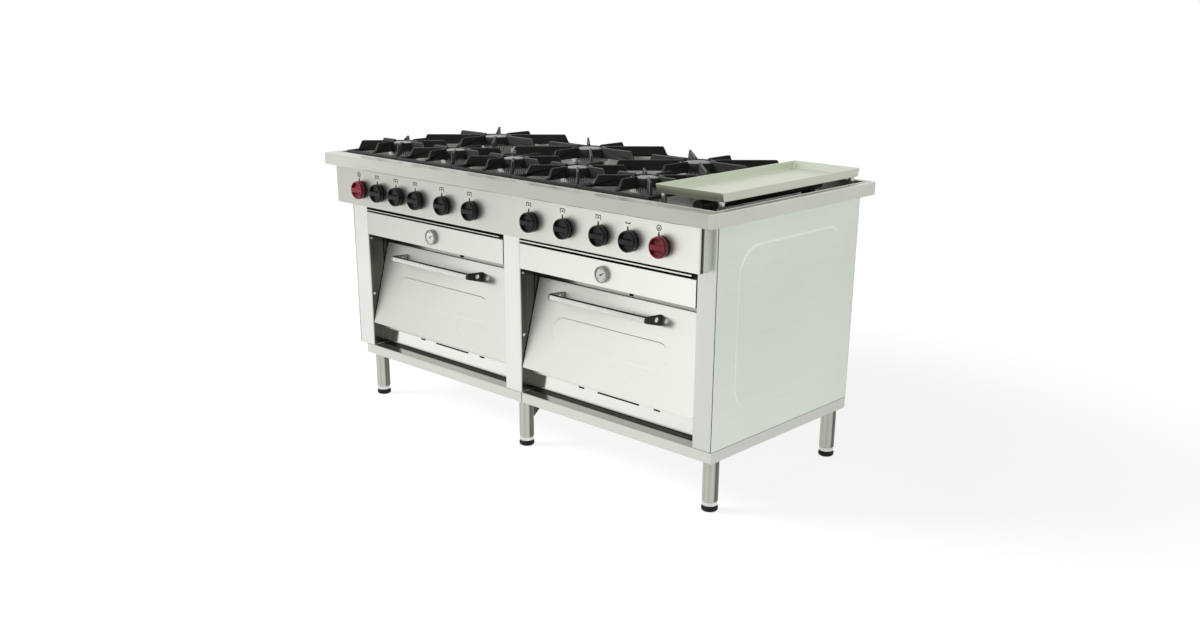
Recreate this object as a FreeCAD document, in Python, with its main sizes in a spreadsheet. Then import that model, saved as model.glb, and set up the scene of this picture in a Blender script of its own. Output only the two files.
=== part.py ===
import FreeCAD, Part
import Sketcher
import math
import os
import re

# A free-standing gas range with two ovens, eight open burners and a griddle plate.
# X runs to the right along the front, Y to the back and Z up; lengths are in millimetres.
# The origin is on the floor under the middle of the worktop.

doc = FreeCAD.newDocument("gas_range")
sheet = doc.addObject("Spreadsheet::Sheet", "dims")

# Driving sizes: each can be changed by itself
SIZES = {
    # Worktop and cabinet
    "top_width": 1650, "top_depth": 775, "top_height": 850, "apron_height": 38,
    "overhang_left": 44, "overhang_right": 30, "overhang_front": 74, "overhang_rear": 36,
    "hob_margin_front": 50, "hob_margin_side": 24, "hob_margin_rear": 26,
    "sheet_metal": 1.5, "tube_wall": 2,
    # Base, legs and feet
    "base_height": 154, "base_rail_height": 33, "base_rail_width": 44, "base_notch": 37.5,
    "leg_radius": 23, "leg_inset_side": 30, "leg_inset_front": 40,
    "foot_radius": 24, "foot_height": 24, "foot_round": 7, "foot_neck_radius": 19, "foot_neck_height": 6,
    "gusset_drop": 70, "gusset_depth": 90, "gusset_tip": 2,
    # Front
    "left_post_width": 77, "center_post_width": 70, "right_post_width": 68,
    "post_return": 60, "post_side_gap": 3,
    "panel_design_width": 1575, "panel_shift": 34, "panel_end_gap": 35, "panel_reach": 35, "panel_drop": 170,
    "valance_low_drop": 270, "valance_high_drop": 192,
    "lower_panel_top": 262, "slot_height": 228, "slot_tall": 7, "long_slot": 165, "short_slot": 24,
    "slot_shift": 12, "short_slot_offset": 150,
    "side_emboss_front": 91, "side_emboss_rear": 78, "side_emboss_bottom": 277, "side_emboss_drop": 112,
    "side_emboss_radius": 82, "emboss_rise": 2.5,
    # Oven doors, in the plane of the leaning door
    "door_lean": 15.9, "hinge_setback": 21, "hinge_height": 279, "door_side_gap": 3,
    "door_below_hinge": 14, "door_top_drop": 42.3, "door_front_to_hinge": 14, "door_thickness": 40,
    "door_emboss_width": 453, "door_emboss_share": 0.2974, "door_emboss_round": 0.475, "door_emboss_drop": 2.5,
    "door_emboss_shift": 16,
    "pin_radius": 5, "pin_length": 24, "running_gap": 0.05, "loose_gap": 0.5,
    "hinge_block": 32, "hinge_plate": 2, "hinge_plate_half": 15,
    "handle_drop": 49, "handle_reach": 53, "handle_radius": 10, "handle_half_length": 186, "handle_shift": 40,
    "spigot_length": 6, "spigot_radius": 5,
    "bracket_width": 10, "bracket_root": 37, "bracket_lift": 9, "bracket_tip": 16, "bracket_nose": 9.5,
    # Ovens
    "seal_gap": 4, "oven_floor": 268, "ceiling_drop": 72, "oven_rear_gap": 65, "oven_side_inset": 30,
    "flange_gap": 4, "flange_bottom": 254, "cheek_gap": 2,
    "rack_rise": 62, "rack_rod_radius": 3, "rack_wire_radius": 2, "rack_wire_lift": 3.5,
    "rack_start": 150, "rack_rear_gap": 30, "rack_ledge": 10,
    "oven_burner_radius": 14, "oven_burner_height": 226,
    "gauge_drop": 2, "thermometer_radius": 24, "thermometer_reach": 11,
    "bush_radius": 8, "bush_length": 12,
    # Drip trays
    "tray_gap": 3, "tray_height": 10, "tray_rear_gap": 105, "tray_side_gap": 2, "runner_width": 14,
    # Knobs and gas line
    "knob_drop": 112, "first_knob": 141.5, "knob_step_left": 98, "knob_step_middle": 130.5,
    "knob_step_center": 259, "knob_step_right": 138, "knob_step_end": 109.5,
    "bezel_radius": 28, "bezel_thickness": 4, "knob_gap": 0.5,
    "knob_neck_radius": 22, "knob_neck": 7, "knob_radius": 30, "knob_nose_radius": 28.5, "knob_cap": 14.5,
    "grip_width": 17, "grip_recess_radius": 24, "grip_recess": 8, "spindle_end_wall": 8, "bore_end_gap": 1,
    "spindle_radius": 4, "valve_radius": 14, "manifold_setback": 10, "manifold_size": 25,
    "manifold_start": 125, "manifold_end": 45,
    "inlet_pipe_radius": 13, "inlet_shoulder": 2, "inlet_radius": 10.5, "inlet_length": 24, "inlet_offset": 130,
    # Hob
    "grate_side_gap": 10, "grate_front_gap": 18, "grate_rear_gap": 5, "rib_width": 14, "rib_drop": 4,
    "front_grate_depth": 270, "grate_gap": 1,
    "grate_bar_width": 10, "grate_bar_height": 10, "fin_height": 32, "fin_thickness": 9, "fin_slope": 14,
    "fin_end_gap": 5,
    "front_corner_share": 1.1556, "rear_corner_share": 1.3202,
    "front_ring_radius": 48, "rear_ring_radius": 57, "ring_width": 5, "ring_height": 24, "ring_lift": 4,
    "cap_side_gap": 3, "burner_wall": 7, "port_crown_height": 13, "port_crown_gap": 1,
    "burner_cap_height": 20, "burner_cap_crown": 4, "cap_crown_inset": 14,
    # Griddle
    "griddle_width": 228, "griddle_gap": 4, "griddle_setback": 38, "griddle_rear_gap": 15,
    "griddle_lift": 16, "griddle_height": 24, "griddle_wall": 3, "griddle_flare": 6,
    "peg_radius": 9, "peg_inset": 11, "griddle_burner_radius": 16, "griddle_burner_inset": 40,
    "saddle_height": 10, "saddle_width": 24, "saddle_inset": 90,
    # Screw heads
    "screw_radius": 5, "screw_rise": 1.5, "screw_setback": 14, "upper_screw_drop": 14, "lower_screw_rise": 92,
}
for row, (name, value) in enumerate(SIZES.items(), start=1):
    sheet.set(f"A{row}", str(value))
    sheet.setAlias(f"A{row}", name)
doc.recompute()

# Places worked out from the driving sizes
PLACES = {
    "slab_left": "-top_width / 2",
    "slab_right": "top_width / 2",
    "slab_front": "-top_depth / 2",
    "slab_back": "top_depth / 2",
    "slab_bottom": "top_height - apron_height",
    "cab_left": "slab_left + overhang_left",
    "cab_right": "slab_right - overhang_right",
    "cab_front": "slab_front + overhang_front",
    "cab_back": "slab_back - overhang_rear",
    "base_left": "cab_left + base_notch",
    "base_top": "base_height + base_rail_height",
    "ledge": "base_top + sheet_metal",
    "deck_bottom": "slab_bottom - sheet_metal",
    "hob_left": "slab_left + hob_margin_side",
    "hob_right": "slab_right - hob_margin_side",
    "hob_front": "slab_front + hob_margin_front",
    "hob_back": "slab_back - hob_margin_rear",
    "oven_width": "(cab_right - cab_left - left_post_width - center_post_width - right_post_width) / 2",
    "left_low": "cab_left + left_post_width",
    "left_high": "left_low + oven_width",
    "right_low": "left_high + center_post_width",
    "right_high": "right_low + oven_width",
    "left_mid": "(left_low + left_high) / 2",
    "right_mid": "(right_low + right_high) / 2",
    "knob_height": "top_height - knob_drop",
    "post_top": "knob_height - manifold_size",
    "post_side": "sheet_metal + post_side_gap",
    "lower_front": "cab_front + post_return",
    "lower_back": "lower_front + sheet_metal",
    "back_inside": "cab_back - sheet_metal",
    "panel_left": "cab_left - panel_shift",
    "panel_right": "cab_right - panel_end_gap",
    "panel_bottom": "top_height - panel_drop",
    "knob_spread": "(panel_right - panel_left) / panel_design_width",
    "panel_front": "cab_front - panel_reach",
    "panel_inside": "panel_front + sheet_metal",
    "bezel_front": "panel_front - bezel_thickness",
    "knob_back": "bezel_front - knob_gap",
    "knob_shoulder": "knob_back - knob_neck",
    "knob_front": "knob_shoulder - knob_cap",
    "spindle_end": "knob_front + spindle_end_wall",
    "manifold_front": "cab_front + manifold_setback",
    "manifold_back": "manifold_front + manifold_size",
    "inlet_face": "cab_back + inlet_shoulder",
    "valance_bottom": "top_height - valance_low_drop",
    "valance_top": "top_height - valance_high_drop",
    "thermometer_height": "(valance_bottom + valance_top) / 2 - gauge_drop",
    "side_emboss_top": "top_height - side_emboss_drop",
    "hinge_y": "cab_front + hinge_setback",
    "door_above_hinge": "(valance_bottom - hinge_height - door_top_drop) / cos(door_lean * 1 deg)",
    "door_emboss_height": "door_above_hinge * door_emboss_share",
    "door_emboss_radius": "door_emboss_height * door_emboss_round",
    "door_emboss_rise": "(door_above_hinge - door_below_hinge) / 2 - door_emboss_drop",
    "handle_rise": "door_above_hinge - handle_drop",
    "door_back": "door_thickness - door_front_to_hinge",
    "flange_front": "door_back + seal_gap",
    "flange_back": "flange_front + sheet_metal",
    "oven_ceiling": "valance_bottom - ceiling_drop",
    "oven_back": "cab_back - cab_front - oven_rear_gap",
    "flange_top": "valance_bottom - flange_gap",
    "rack_height": "oven_floor + rack_rise",
    "rack_depth": "oven_back - rack_start - rack_rear_gap",
    "upper_screw": "valance_bottom - upper_screw_drop",
    "lower_screw": "hinge_height + lower_screw_rise",
    "tray_bottom": "valance_top + tray_gap",
    "tray_depth": "cab_back - cab_front - tray_rear_gap",
    "burner_floor": "slab_bottom",
    "rib_top": "top_height - rib_drop",
    "grate_left": "hob_left + grate_side_gap",
    "rear_grate_width": "(hob_right - hob_left - 2 * grate_side_gap - griddle_width - griddle_gap) / 3",
    "grate_right": "grate_left + 3 * rear_grate_width",
    "front_grate_width": "(grate_right - grate_left) / 5",
    "grate_front": "hob_front + grate_front_gap",
    "row_split": "grate_front + front_grate_depth",
    "rear_grate_depth": "hob_back - grate_rear_gap - row_split",
    "grate_back": "row_split + rear_grate_depth",
    "front_corner_fin": "min(front_grate_width; front_grate_depth) / 2 * front_corner_share",
    "rear_corner_fin": "min(rear_grate_width; rear_grate_depth) / 2 * rear_corner_share",
    "fin_bottom": "rib_top + grate_bar_height",
    "ring_bottom": "fin_bottom + ring_lift",
    "burner_cap_bottom": "fin_bottom - port_crown_gap",
    "port_crown_bottom": "burner_cap_bottom - port_crown_height",
    "cap_top": "burner_cap_bottom + burner_cap_height",
    "front_cap_radius": "front_ring_radius - ring_width - cap_side_gap",
    "rear_cap_radius": "rear_ring_radius - ring_width - cap_side_gap",
    "front_fin_start": "front_ring_radius - ring_width / 2",
    "rear_fin_start": "rear_ring_radius - ring_width / 2",
    "griddle_left": "grate_right + griddle_gap",
    "griddle_right": "griddle_left + griddle_width",
    "griddle_front": "hob_front + griddle_setback",
    "griddle_back": "hob_back - griddle_rear_gap",
    "griddle_bottom": "top_height + griddle_lift",
    "griddle_mid": "(griddle_left + griddle_right) / 2",
    "griddle_burner_height": "burner_floor + saddle_height + griddle_burner_radius",
}


def cell(text):
    """Spell a formula out in cells of the sheet: a place becomes its own formula, a size its cell."""
    def spell(match):
        word = match.group(0)
        if word in PLACES:
            return f"({cell(PLACES[word])})"
        if word in SIZES:
            return f"dims.{word}"
        return word
    return re.sub(r"[a-z][a-z_]*", spell, text)


def bind(item, formulas):
    for field, formula in formulas.items():
        item.setExpression(field, cell(formula))
    return item


def block(name, x, y, z):
    """A box given by its low and high planes along each axis."""
    item = doc.addObject("Part::Box", name)
    for side, axis, (low, high) in zip(("Length", "Width", "Height"), "xyz", (x, y, z)):
        bind(item, {side: f"({high}) - ({low})", f"Placement.Base.{axis}": low})
    return item


AXIS_TURN = {
    "x": FreeCAD.Rotation(FreeCAD.Vector(0, 1, 0), 90),
    "y": FreeCAD.Rotation(FreeCAD.Vector(1, 0, 0), -90),
    "z": FreeCAD.Rotation(),
}


def set_along(item, axis, centre, start):
    """Point a round solid along an axis, with its centre line and its lower end where they are given."""
    item.Placement = FreeCAD.Placement(FreeCAD.Vector(), AXIS_TURN[axis])
    across = [other for other in "xyz" if other != axis]
    for letter, formula in zip(across + [axis], list(centre) + [start]):
        bind(item, {f"Placement.Base.{letter}": formula})
    return item


def rod(name, axis, centre, reach, radius):
    """A round bar along an axis between the two ends in reach."""
    item = doc.addObject("Part::Cylinder", name)
    bind(item, {"Radius": radius, "Height": f"({reach[1]}) - ({reach[0]})"})
    return set_along(item, axis, centre, reach[0])


def taper(name, axis, centre, reach, radii):
    """A cone along an axis, with its radius at each of the two ends in reach."""
    item = doc.addObject("Part::Cone", name)
    bind(item, {"Radius1": radii[0], "Radius2": radii[1], "Height": f"({reach[1]}) - ({reach[0]})"})
    return set_along(item, axis, centre, reach[0])


def join(name, *items):
    item = doc.addObject("Part::MultiFuse", name)
    item.Shapes = list(items)
    return item


def group(name, items):
    item = doc.addObject("Part::Compound", name)
    item.Links = list(items)
    return item


def cut(name, base, *tools):
    item = doc.addObject("Part::Cut", name)
    item.Base = base
    item.Tool = tools[0] if len(tools) == 1 else group(name + "_tools", tools)
    return item


def lean(item, x="0"):
    """Lean a piece drawn upright about the door's hinge line back to the door's own angle."""
    item.Placement = FreeCAD.Placement(FreeCAD.Vector(), FreeCAD.Rotation(FreeCAD.Vector(-1, 0, 0), 1))
    return bind(item, {
        "Placement.Base.x": x, "Placement.Base.y": "hinge_y", "Placement.Base.z": "hinge_height",
        "Placement.Rotation.Angle": "door_lean",
    })


def square_tube(name, axis, x, y, z):
    """A rectangular tube, open at both ends along its axis."""
    inner = []
    for letter, (low, high) in zip("xyz", (x, y, z)):
        wall = "0" if letter == axis else "tube_wall"
        inner.append((f"{low} + {wall}", f"{high} - {wall}"))
    return cut(name, block(name + "_outside", x, y, z), block(name + "_bore", *inner))


def pressed_field(name, plane, width, height, radius, reverse=False):
    """A raised field with round corners and sloping edges, centred on its own origin."""
    body = doc.addObject("PartDesign::Body", name)
    sketch = body.newObject("Sketcher::SketchObject", name + "_outline")
    origin_plane = next(item for item in body.Origin.OriginFeatures if item.Role == plane)
    sketch.AttachmentSupport = [(origin_plane, "")]
    sketch.MapMode = "FlatFace"
    full_width, full_height, corner = (float(sketch.evalExpression(cell(size))) for size in (width, height, radius))
    half_width = full_width / 2
    half_height = full_height / 2
    quarter = math.pi / 2
    corners = [(1, -1), (1, 1), (-1, 1), (-1, -1)]
    up = FreeCAD.Vector(0, 0, 1)
    for index, (side, level) in enumerate(corners):
        centre = FreeCAD.Vector(side * (half_width - corner), level * (half_height - corner), 0)
        before = corners[index - 1]
        start_turn = FreeCAD.Rotation(up, 90 * (index - 1))
        toward = start_turn.multVec(FreeCAD.Vector(corner, 0, 0))
        last = FreeCAD.Vector(before[0] * (half_width - corner), before[1] * (half_height - corner), 0)
        sketch.addGeometry(Part.LineSegment(last + toward, centre + toward))
        sketch.addGeometry(Part.ArcOfCircle(Part.Circle(centre, up, corner),
                                            quarter * (index - 1), quarter * index))
    for index in range(8):
        sketch.addConstraint(Sketcher.Constraint("Tangent", index, 2, (index + 1) % 8, 1))
    for index in (0, 4):
        sketch.addConstraint(Sketcher.Constraint("Horizontal", index))
        sketch.addConstraint(Sketcher.Constraint("Vertical", index + 2))
    for index in (3, 5, 7):
        sketch.addConstraint(Sketcher.Constraint("Equal", 1, index))
    sketch.addConstraint(Sketcher.Constraint("Symmetric", 1, 3, 5, 3, -1, 1))
    driven = [
        (Sketcher.Constraint("DistanceX", 6, 1, 2, 1, 2 * half_width), width),
        (Sketcher.Constraint("DistanceY", 0, 1, 4, 1, 2 * half_height), height),
        (Sketcher.Constraint("Radius", 1, corner), radius),
    ]
    for constraint, formula in driven:
        place = sketch.addConstraint(constraint)
        bind(sketch, {f"Constraints[{place}]": formula})
    pad = body.newObject("PartDesign::Pad", name + "_pad")
    pad.Profile = sketch
    pad.Reversed = reverse
    pad.TaperAngle = -45
    bind(pad, {"Length": "emboss_rise"})
    body.Tip = pad
    return body


PIECES = []


def piece(item, label):
    """Give a finished piece its name and keep it for export."""
    item.Label = label
    PIECES.append(item)
    return item


# Worktop: four folded rails round the hob opening
def top_rail(name, x, y):
    hollow = [(f"{low} + sheet_metal", f"{high} - sheet_metal") for low, high in (x, y)]
    outside = block(name + "_outside", x, y, ("slab_bottom", "top_height"))
    inside = block(name + "_inside", *hollow, ("slab_bottom", "top_height - sheet_metal"))
    return cut(name, outside, inside)


across_top = ("slab_left", "slab_right")
between_rails = ("hob_front", "hob_back")
piece(group("worktop_rails", [
    top_rail("front_top_rail", across_top, ("slab_front", "hob_front")),
    top_rail("rear_top_rail", across_top, ("hob_back", "slab_back")),
    top_rail("left_top_rail", ("slab_left", "hob_left"), between_rails),
    top_rail("right_top_rail", ("hob_right", "slab_right"), between_rails),
]), "top_frame")

# Hob deck with three ribs that carry the grates
deck_plate = block("deck_plate", ("hob_left - sheet_metal", "hob_right + sheet_metal"),
                   ("hob_front - sheet_metal", "hob_back + sheet_metal"), ("deck_bottom", "slab_bottom"))
ribs = []
for name, middle in (("front_rib", "grate_front + rib_width / 2"), ("middle_rib", "row_split"),
                     ("rear_rib", "grate_back - rib_width / 2")):
    ribs.append(block(name, ("grate_left", "grate_right"),
                      (f"{middle} - rib_width / 2", f"{middle} + rib_width / 2"), ("slab_bottom", "rib_top")))
piece(group("deck_with_ribs", [deck_plate, *ribs]), "hob_deck")

# Cabinet walls
cabinet_rise = ("ledge", "deck_bottom")
for side, outer, inner, turned in (("left", "cab_left", "cab_left + sheet_metal", True),
                                   ("right", "cab_right - sheet_metal", "cab_right", False)):
    wall = block(side + "_wall", (outer, inner), ("cab_front", "back_inside"), cabinet_rise)
    field = pressed_field(side + "_wall_field", "YZ_Plane",
                          "cab_back - cab_front - side_emboss_front - side_emboss_rear",
                          "side_emboss_top - side_emboss_bottom", "side_emboss_radius", turned)
    bind(field, {
        "Placement.Base.x": outer if turned else inner,
        "Placement.Base.y": "(cab_front + side_emboss_front + cab_back - side_emboss_rear) / 2",
        "Placement.Base.z": "(side_emboss_bottom + side_emboss_top) / 2",
    })
    piece(join(side + "_wall_pressed", wall, field), side + "_side_panel")

back_sheet = block("back_sheet", ("cab_left", "cab_right"), ("back_inside", "cab_back"), cabinet_rise)
inlet_x = "cab_left + inlet_offset"
inlet_hole = rod("inlet_hole", "y", (inlet_x, "knob_height"), ("back_inside", "cab_back"),
                 "inlet_pipe_radius + loose_gap")
piece(cut("back_sheet_drilled", back_sheet, inlet_hole), "back_panel")
piece(block("bottom_sheet", ("cab_left", "cab_right"), ("cab_front", "cab_back"), ("base_top", "ledge")),
      "bottom_panel")


# Front posts: folded channels that are open at the back
def post(name, low, high, top):
    outside = block(name + "_outside", (low, high), ("cab_front", "lower_front"), ("ledge", top))
    inside = block(name + "_inside", (f"{low} + sheet_metal", f"{high} - sheet_metal"),
                   ("cab_front + sheet_metal", "lower_front"), ("ledge", top))
    return cut(name, outside, inside)


piece(post("left_channel", "cab_left + post_side", "left_low", "deck_bottom"), "left_post")
piece(post("center_channel", "left_high", "right_low", "post_top"), "center_post")
piece(post("right_channel", "right_high", "cab_right - post_side", "deck_bottom"), "right_post")

# Base frame: four tubes, a tube across the middle and a gusset behind the middle leg
rail_rise = ("base_height", "base_top")
base_length = ("base_left", "cab_right")
base_middle = "(base_left + cab_right) / 2"
front_rail_y = ("cab_front", "cab_front + base_rail_width")
rear_rail_y = ("cab_back - base_rail_width", "cab_back")
between_y = ("cab_front + base_rail_width", "cab_back - base_rail_width")
gusset = doc.addObject("Part::Wedge", "gusset")
gusset.Placement = FreeCAD.Placement(FreeCAD.Vector(), FreeCAD.Rotation(FreeCAD.Vector(1, 0, 0), 180))
bind(gusset, {
    "Xmin": "0", "Xmax": "tube_wall", "X2min": "0", "X2max": "tube_wall", "Ymin": "0", "Ymax": "gusset_depth",
    "Zmin": "0", "Zmax": "gusset_tip", "Z2min": "0", "Z2max": "gusset_drop",
    "Placement.Base.x": f"{base_middle} - tube_wall / 2",
    "Placement.Base.y": "cab_front + base_rail_width + gusset_depth + leg_radius",
    "Placement.Base.z": "base_height",
})
piece(group("base_rails", [
    square_tube("front_rail", "x", base_length, front_rail_y, rail_rise),
    square_tube("rear_rail", "x", base_length, rear_rail_y, rail_rise),
    square_tube("left_rail", "y", ("base_left", "base_left + base_rail_width"), between_y, rail_rise),
    square_tube("middle_rail", "y", (f"{base_middle} - base_rail_width / 2",
                                     f"{base_middle} + base_rail_width / 2"), between_y, rail_rise),
    square_tube("right_rail", "y", ("cab_right - base_rail_width", "cab_right"), between_y, rail_rise),
    gusset,
]), "base_frame")

# Six legs on levelling feet
leg_bottom = "foot_height + foot_neck_height"
legs = []
feet = []
for column, x in enumerate(("base_left + leg_inset_side", base_middle, "cab_right - leg_inset_side")):
    for line, y in enumerate(("cab_front + leg_inset_front", "cab_back - leg_inset_front")):
        name = f"leg_{column}_{line}"
        outside = rod(name + "_outside", "z", (x, y), (leg_bottom, "base_height"), "leg_radius")
        inside = rod(name + "_inside", "z", (x, y), (f"{leg_bottom} + tube_wall", "base_height"),
                     "leg_radius - tube_wall")
        legs.append(cut(name, outside, inside))
        name = f"foot_{column}_{line}"
        feet.append(join(
            name,
            taper(name + "_heel", "z", (x, y), ("0", "foot_round"), ("foot_radius - foot_round", "foot_radius")),
            rod(name + "_pad", "z", (x, y), ("foot_round", "foot_height"), "foot_radius"),
            rod(name + "_neck", "z", (x, y), ("foot_height", leg_bottom), "foot_neck_radius")))
piece(group("leg_tubes", legs), "legs")
piece(group("foot_pads", feet), "leveling_feet")

# Control panel with a hole for each valve spindle
knob_places = []
knob_steps = (["knob_step_left"] * 3 + ["knob_step_middle"] * 2 + ["knob_step_center"]
              + ["knob_step_right"] * 2 + ["knob_step_end"] * 2)
place = "panel_left + first_knob * knob_spread"
for step in knob_steps:
    knob_places.append(place)
    place = f"{place} + {step} * knob_spread"
knob_places.append(place)

panel_outside = block("panel_outside", ("panel_left", "panel_right"), ("panel_front", "cab_front"),
                      ("panel_bottom", "deck_bottom"))
panel_inside = block("panel_inside", ("panel_left + sheet_metal", "panel_right - sheet_metal"),
                     ("panel_inside", "cab_front"), ("panel_bottom + sheet_metal", "deck_bottom"))
spindle_hole_radius = "spindle_radius + loose_gap"
panel_holes = []
bezels = []
valves = []
for number, x in enumerate(knob_places):
    line = (x, "knob_height")
    panel_holes.append(rod(f"panel_hole_{number}", "y", line, ("panel_front", "panel_inside"),
                           spindle_hole_radius))
    disc = rod(f"bezel_disc_{number}", "y", line, ("bezel_front", "panel_front"), "bezel_radius")
    disc_hole = rod(f"bezel_hole_{number}", "y", line, ("bezel_front", "panel_front"), spindle_hole_radius)
    bezels.append(cut(f"bezel_{number}", disc, disc_hole))
    valves.append(join(f"valve_{number}",
                       rod(f"valve_body_{number}", "y", line, ("panel_inside", "manifold_front"), "valve_radius"),
                       rod(f"spindle_{number}", "y", line, ("spindle_end", "panel_inside"), "spindle_radius")))
panel_pan = cut("panel_drilled", panel_outside, panel_inside, *panel_holes)
end_flange = block("panel_end_flange", ("panel_left", "cab_left"), ("cab_front - sheet_metal", "cab_front"),
                   ("panel_bottom", "deck_bottom"))
piece(join("panel_folded", panel_pan, end_flange), "control_panel")
piece(group("bezel_discs", bezels), "knob_bezels")
piece(group("valve_set", valves), "gas_valves")

# Gas line: a square manifold behind the valves and a round inlet pipe to the back
manifold_bar = block("manifold_bar", ("panel_left + manifold_start", "panel_right - manifold_end"),
                     ("manifold_front", "manifold_back"),
                     ("knob_height - manifold_size / 2", "knob_height + manifold_size / 2"))
inlet_line = (inlet_x, "knob_height")
inlet_pipe = rod("inlet_pipe", "y", inlet_line, ("manifold_back", "inlet_face"), "inlet_pipe_radius")
inlet_nipple = rod("inlet_nipple", "y", inlet_line, ("inlet_face", "inlet_face + inlet_length"), "inlet_radius")
piece(join("manifold_and_inlet", manifold_bar, inlet_pipe, inlet_nipple), "gas_manifold")


# Knobs: a waisted cap with a grip bar between two recesses, bored for its spindle
def knob(name, x):
    line = (x, "knob_height")
    neck = rod(name + "_neck", "y", line, ("knob_shoulder", "knob_back"), "knob_neck_radius")
    cap = taper(name + "_cap", "y", line, ("knob_front", "knob_shoulder"), ("knob_nose_radius", "knob_radius"))
    recess = rod(name + "_recess", "y", line, ("knob_front", "knob_front + grip_recess"), "grip_recess_radius")
    grip = block(name + "_grip", (f"{x} - knob_radius", f"{x} + knob_radius"),
                 ("knob_front", "knob_front + grip_recess"),
                 ("knob_height - grip_width / 2", "knob_height + grip_width / 2"))
    bore = rod(name + "_bore", "y", line, ("spindle_end - bore_end_gap", "knob_back"),
               "spindle_radius + running_gap")
    return cut(name + "_solid", join(name + "_blank", neck, cap), cut(name + "_hollows", recess, grip), bore)


knob_names = (["left_oven_knob"] + [f"burner_knob_{number}" for number in range(1, 9)]
              + ["griddle_knob", "right_oven_knob"])
for name, x in zip(knob_names, knob_places):
    piece(knob(name + "_turned", x), name)


def bracket_arm(name, x):
    """A plate that stands off the door and narrows downwards to the line of the handle bar."""
    item = doc.addObject("Part::Wedge", name)
    item.Placement = FreeCAD.Placement(FreeCAD.Vector(), FreeCAD.Rotation(FreeCAD.Vector(0, 0, 1), 180))
    return bind(item, {
        "Xmin": "0", "Xmax": "bracket_width", "X2min": "0", "X2max": "bracket_width",
        "Ymin": "0", "Ymax": "handle_reach",
        "Zmin": "bracket_lift - bracket_root / 2", "Zmax": "bracket_lift + bracket_root / 2",
        "Z2min": "-bracket_tip / 2", "Z2max": "bracket_tip / 2",
        "Placement.Base.x": f"{x} + bracket_width", "Placement.Base.y": "-door_front_to_hinge",
        "Placement.Base.z": "handle_rise",
    })


RACK_WIRES = 13


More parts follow.
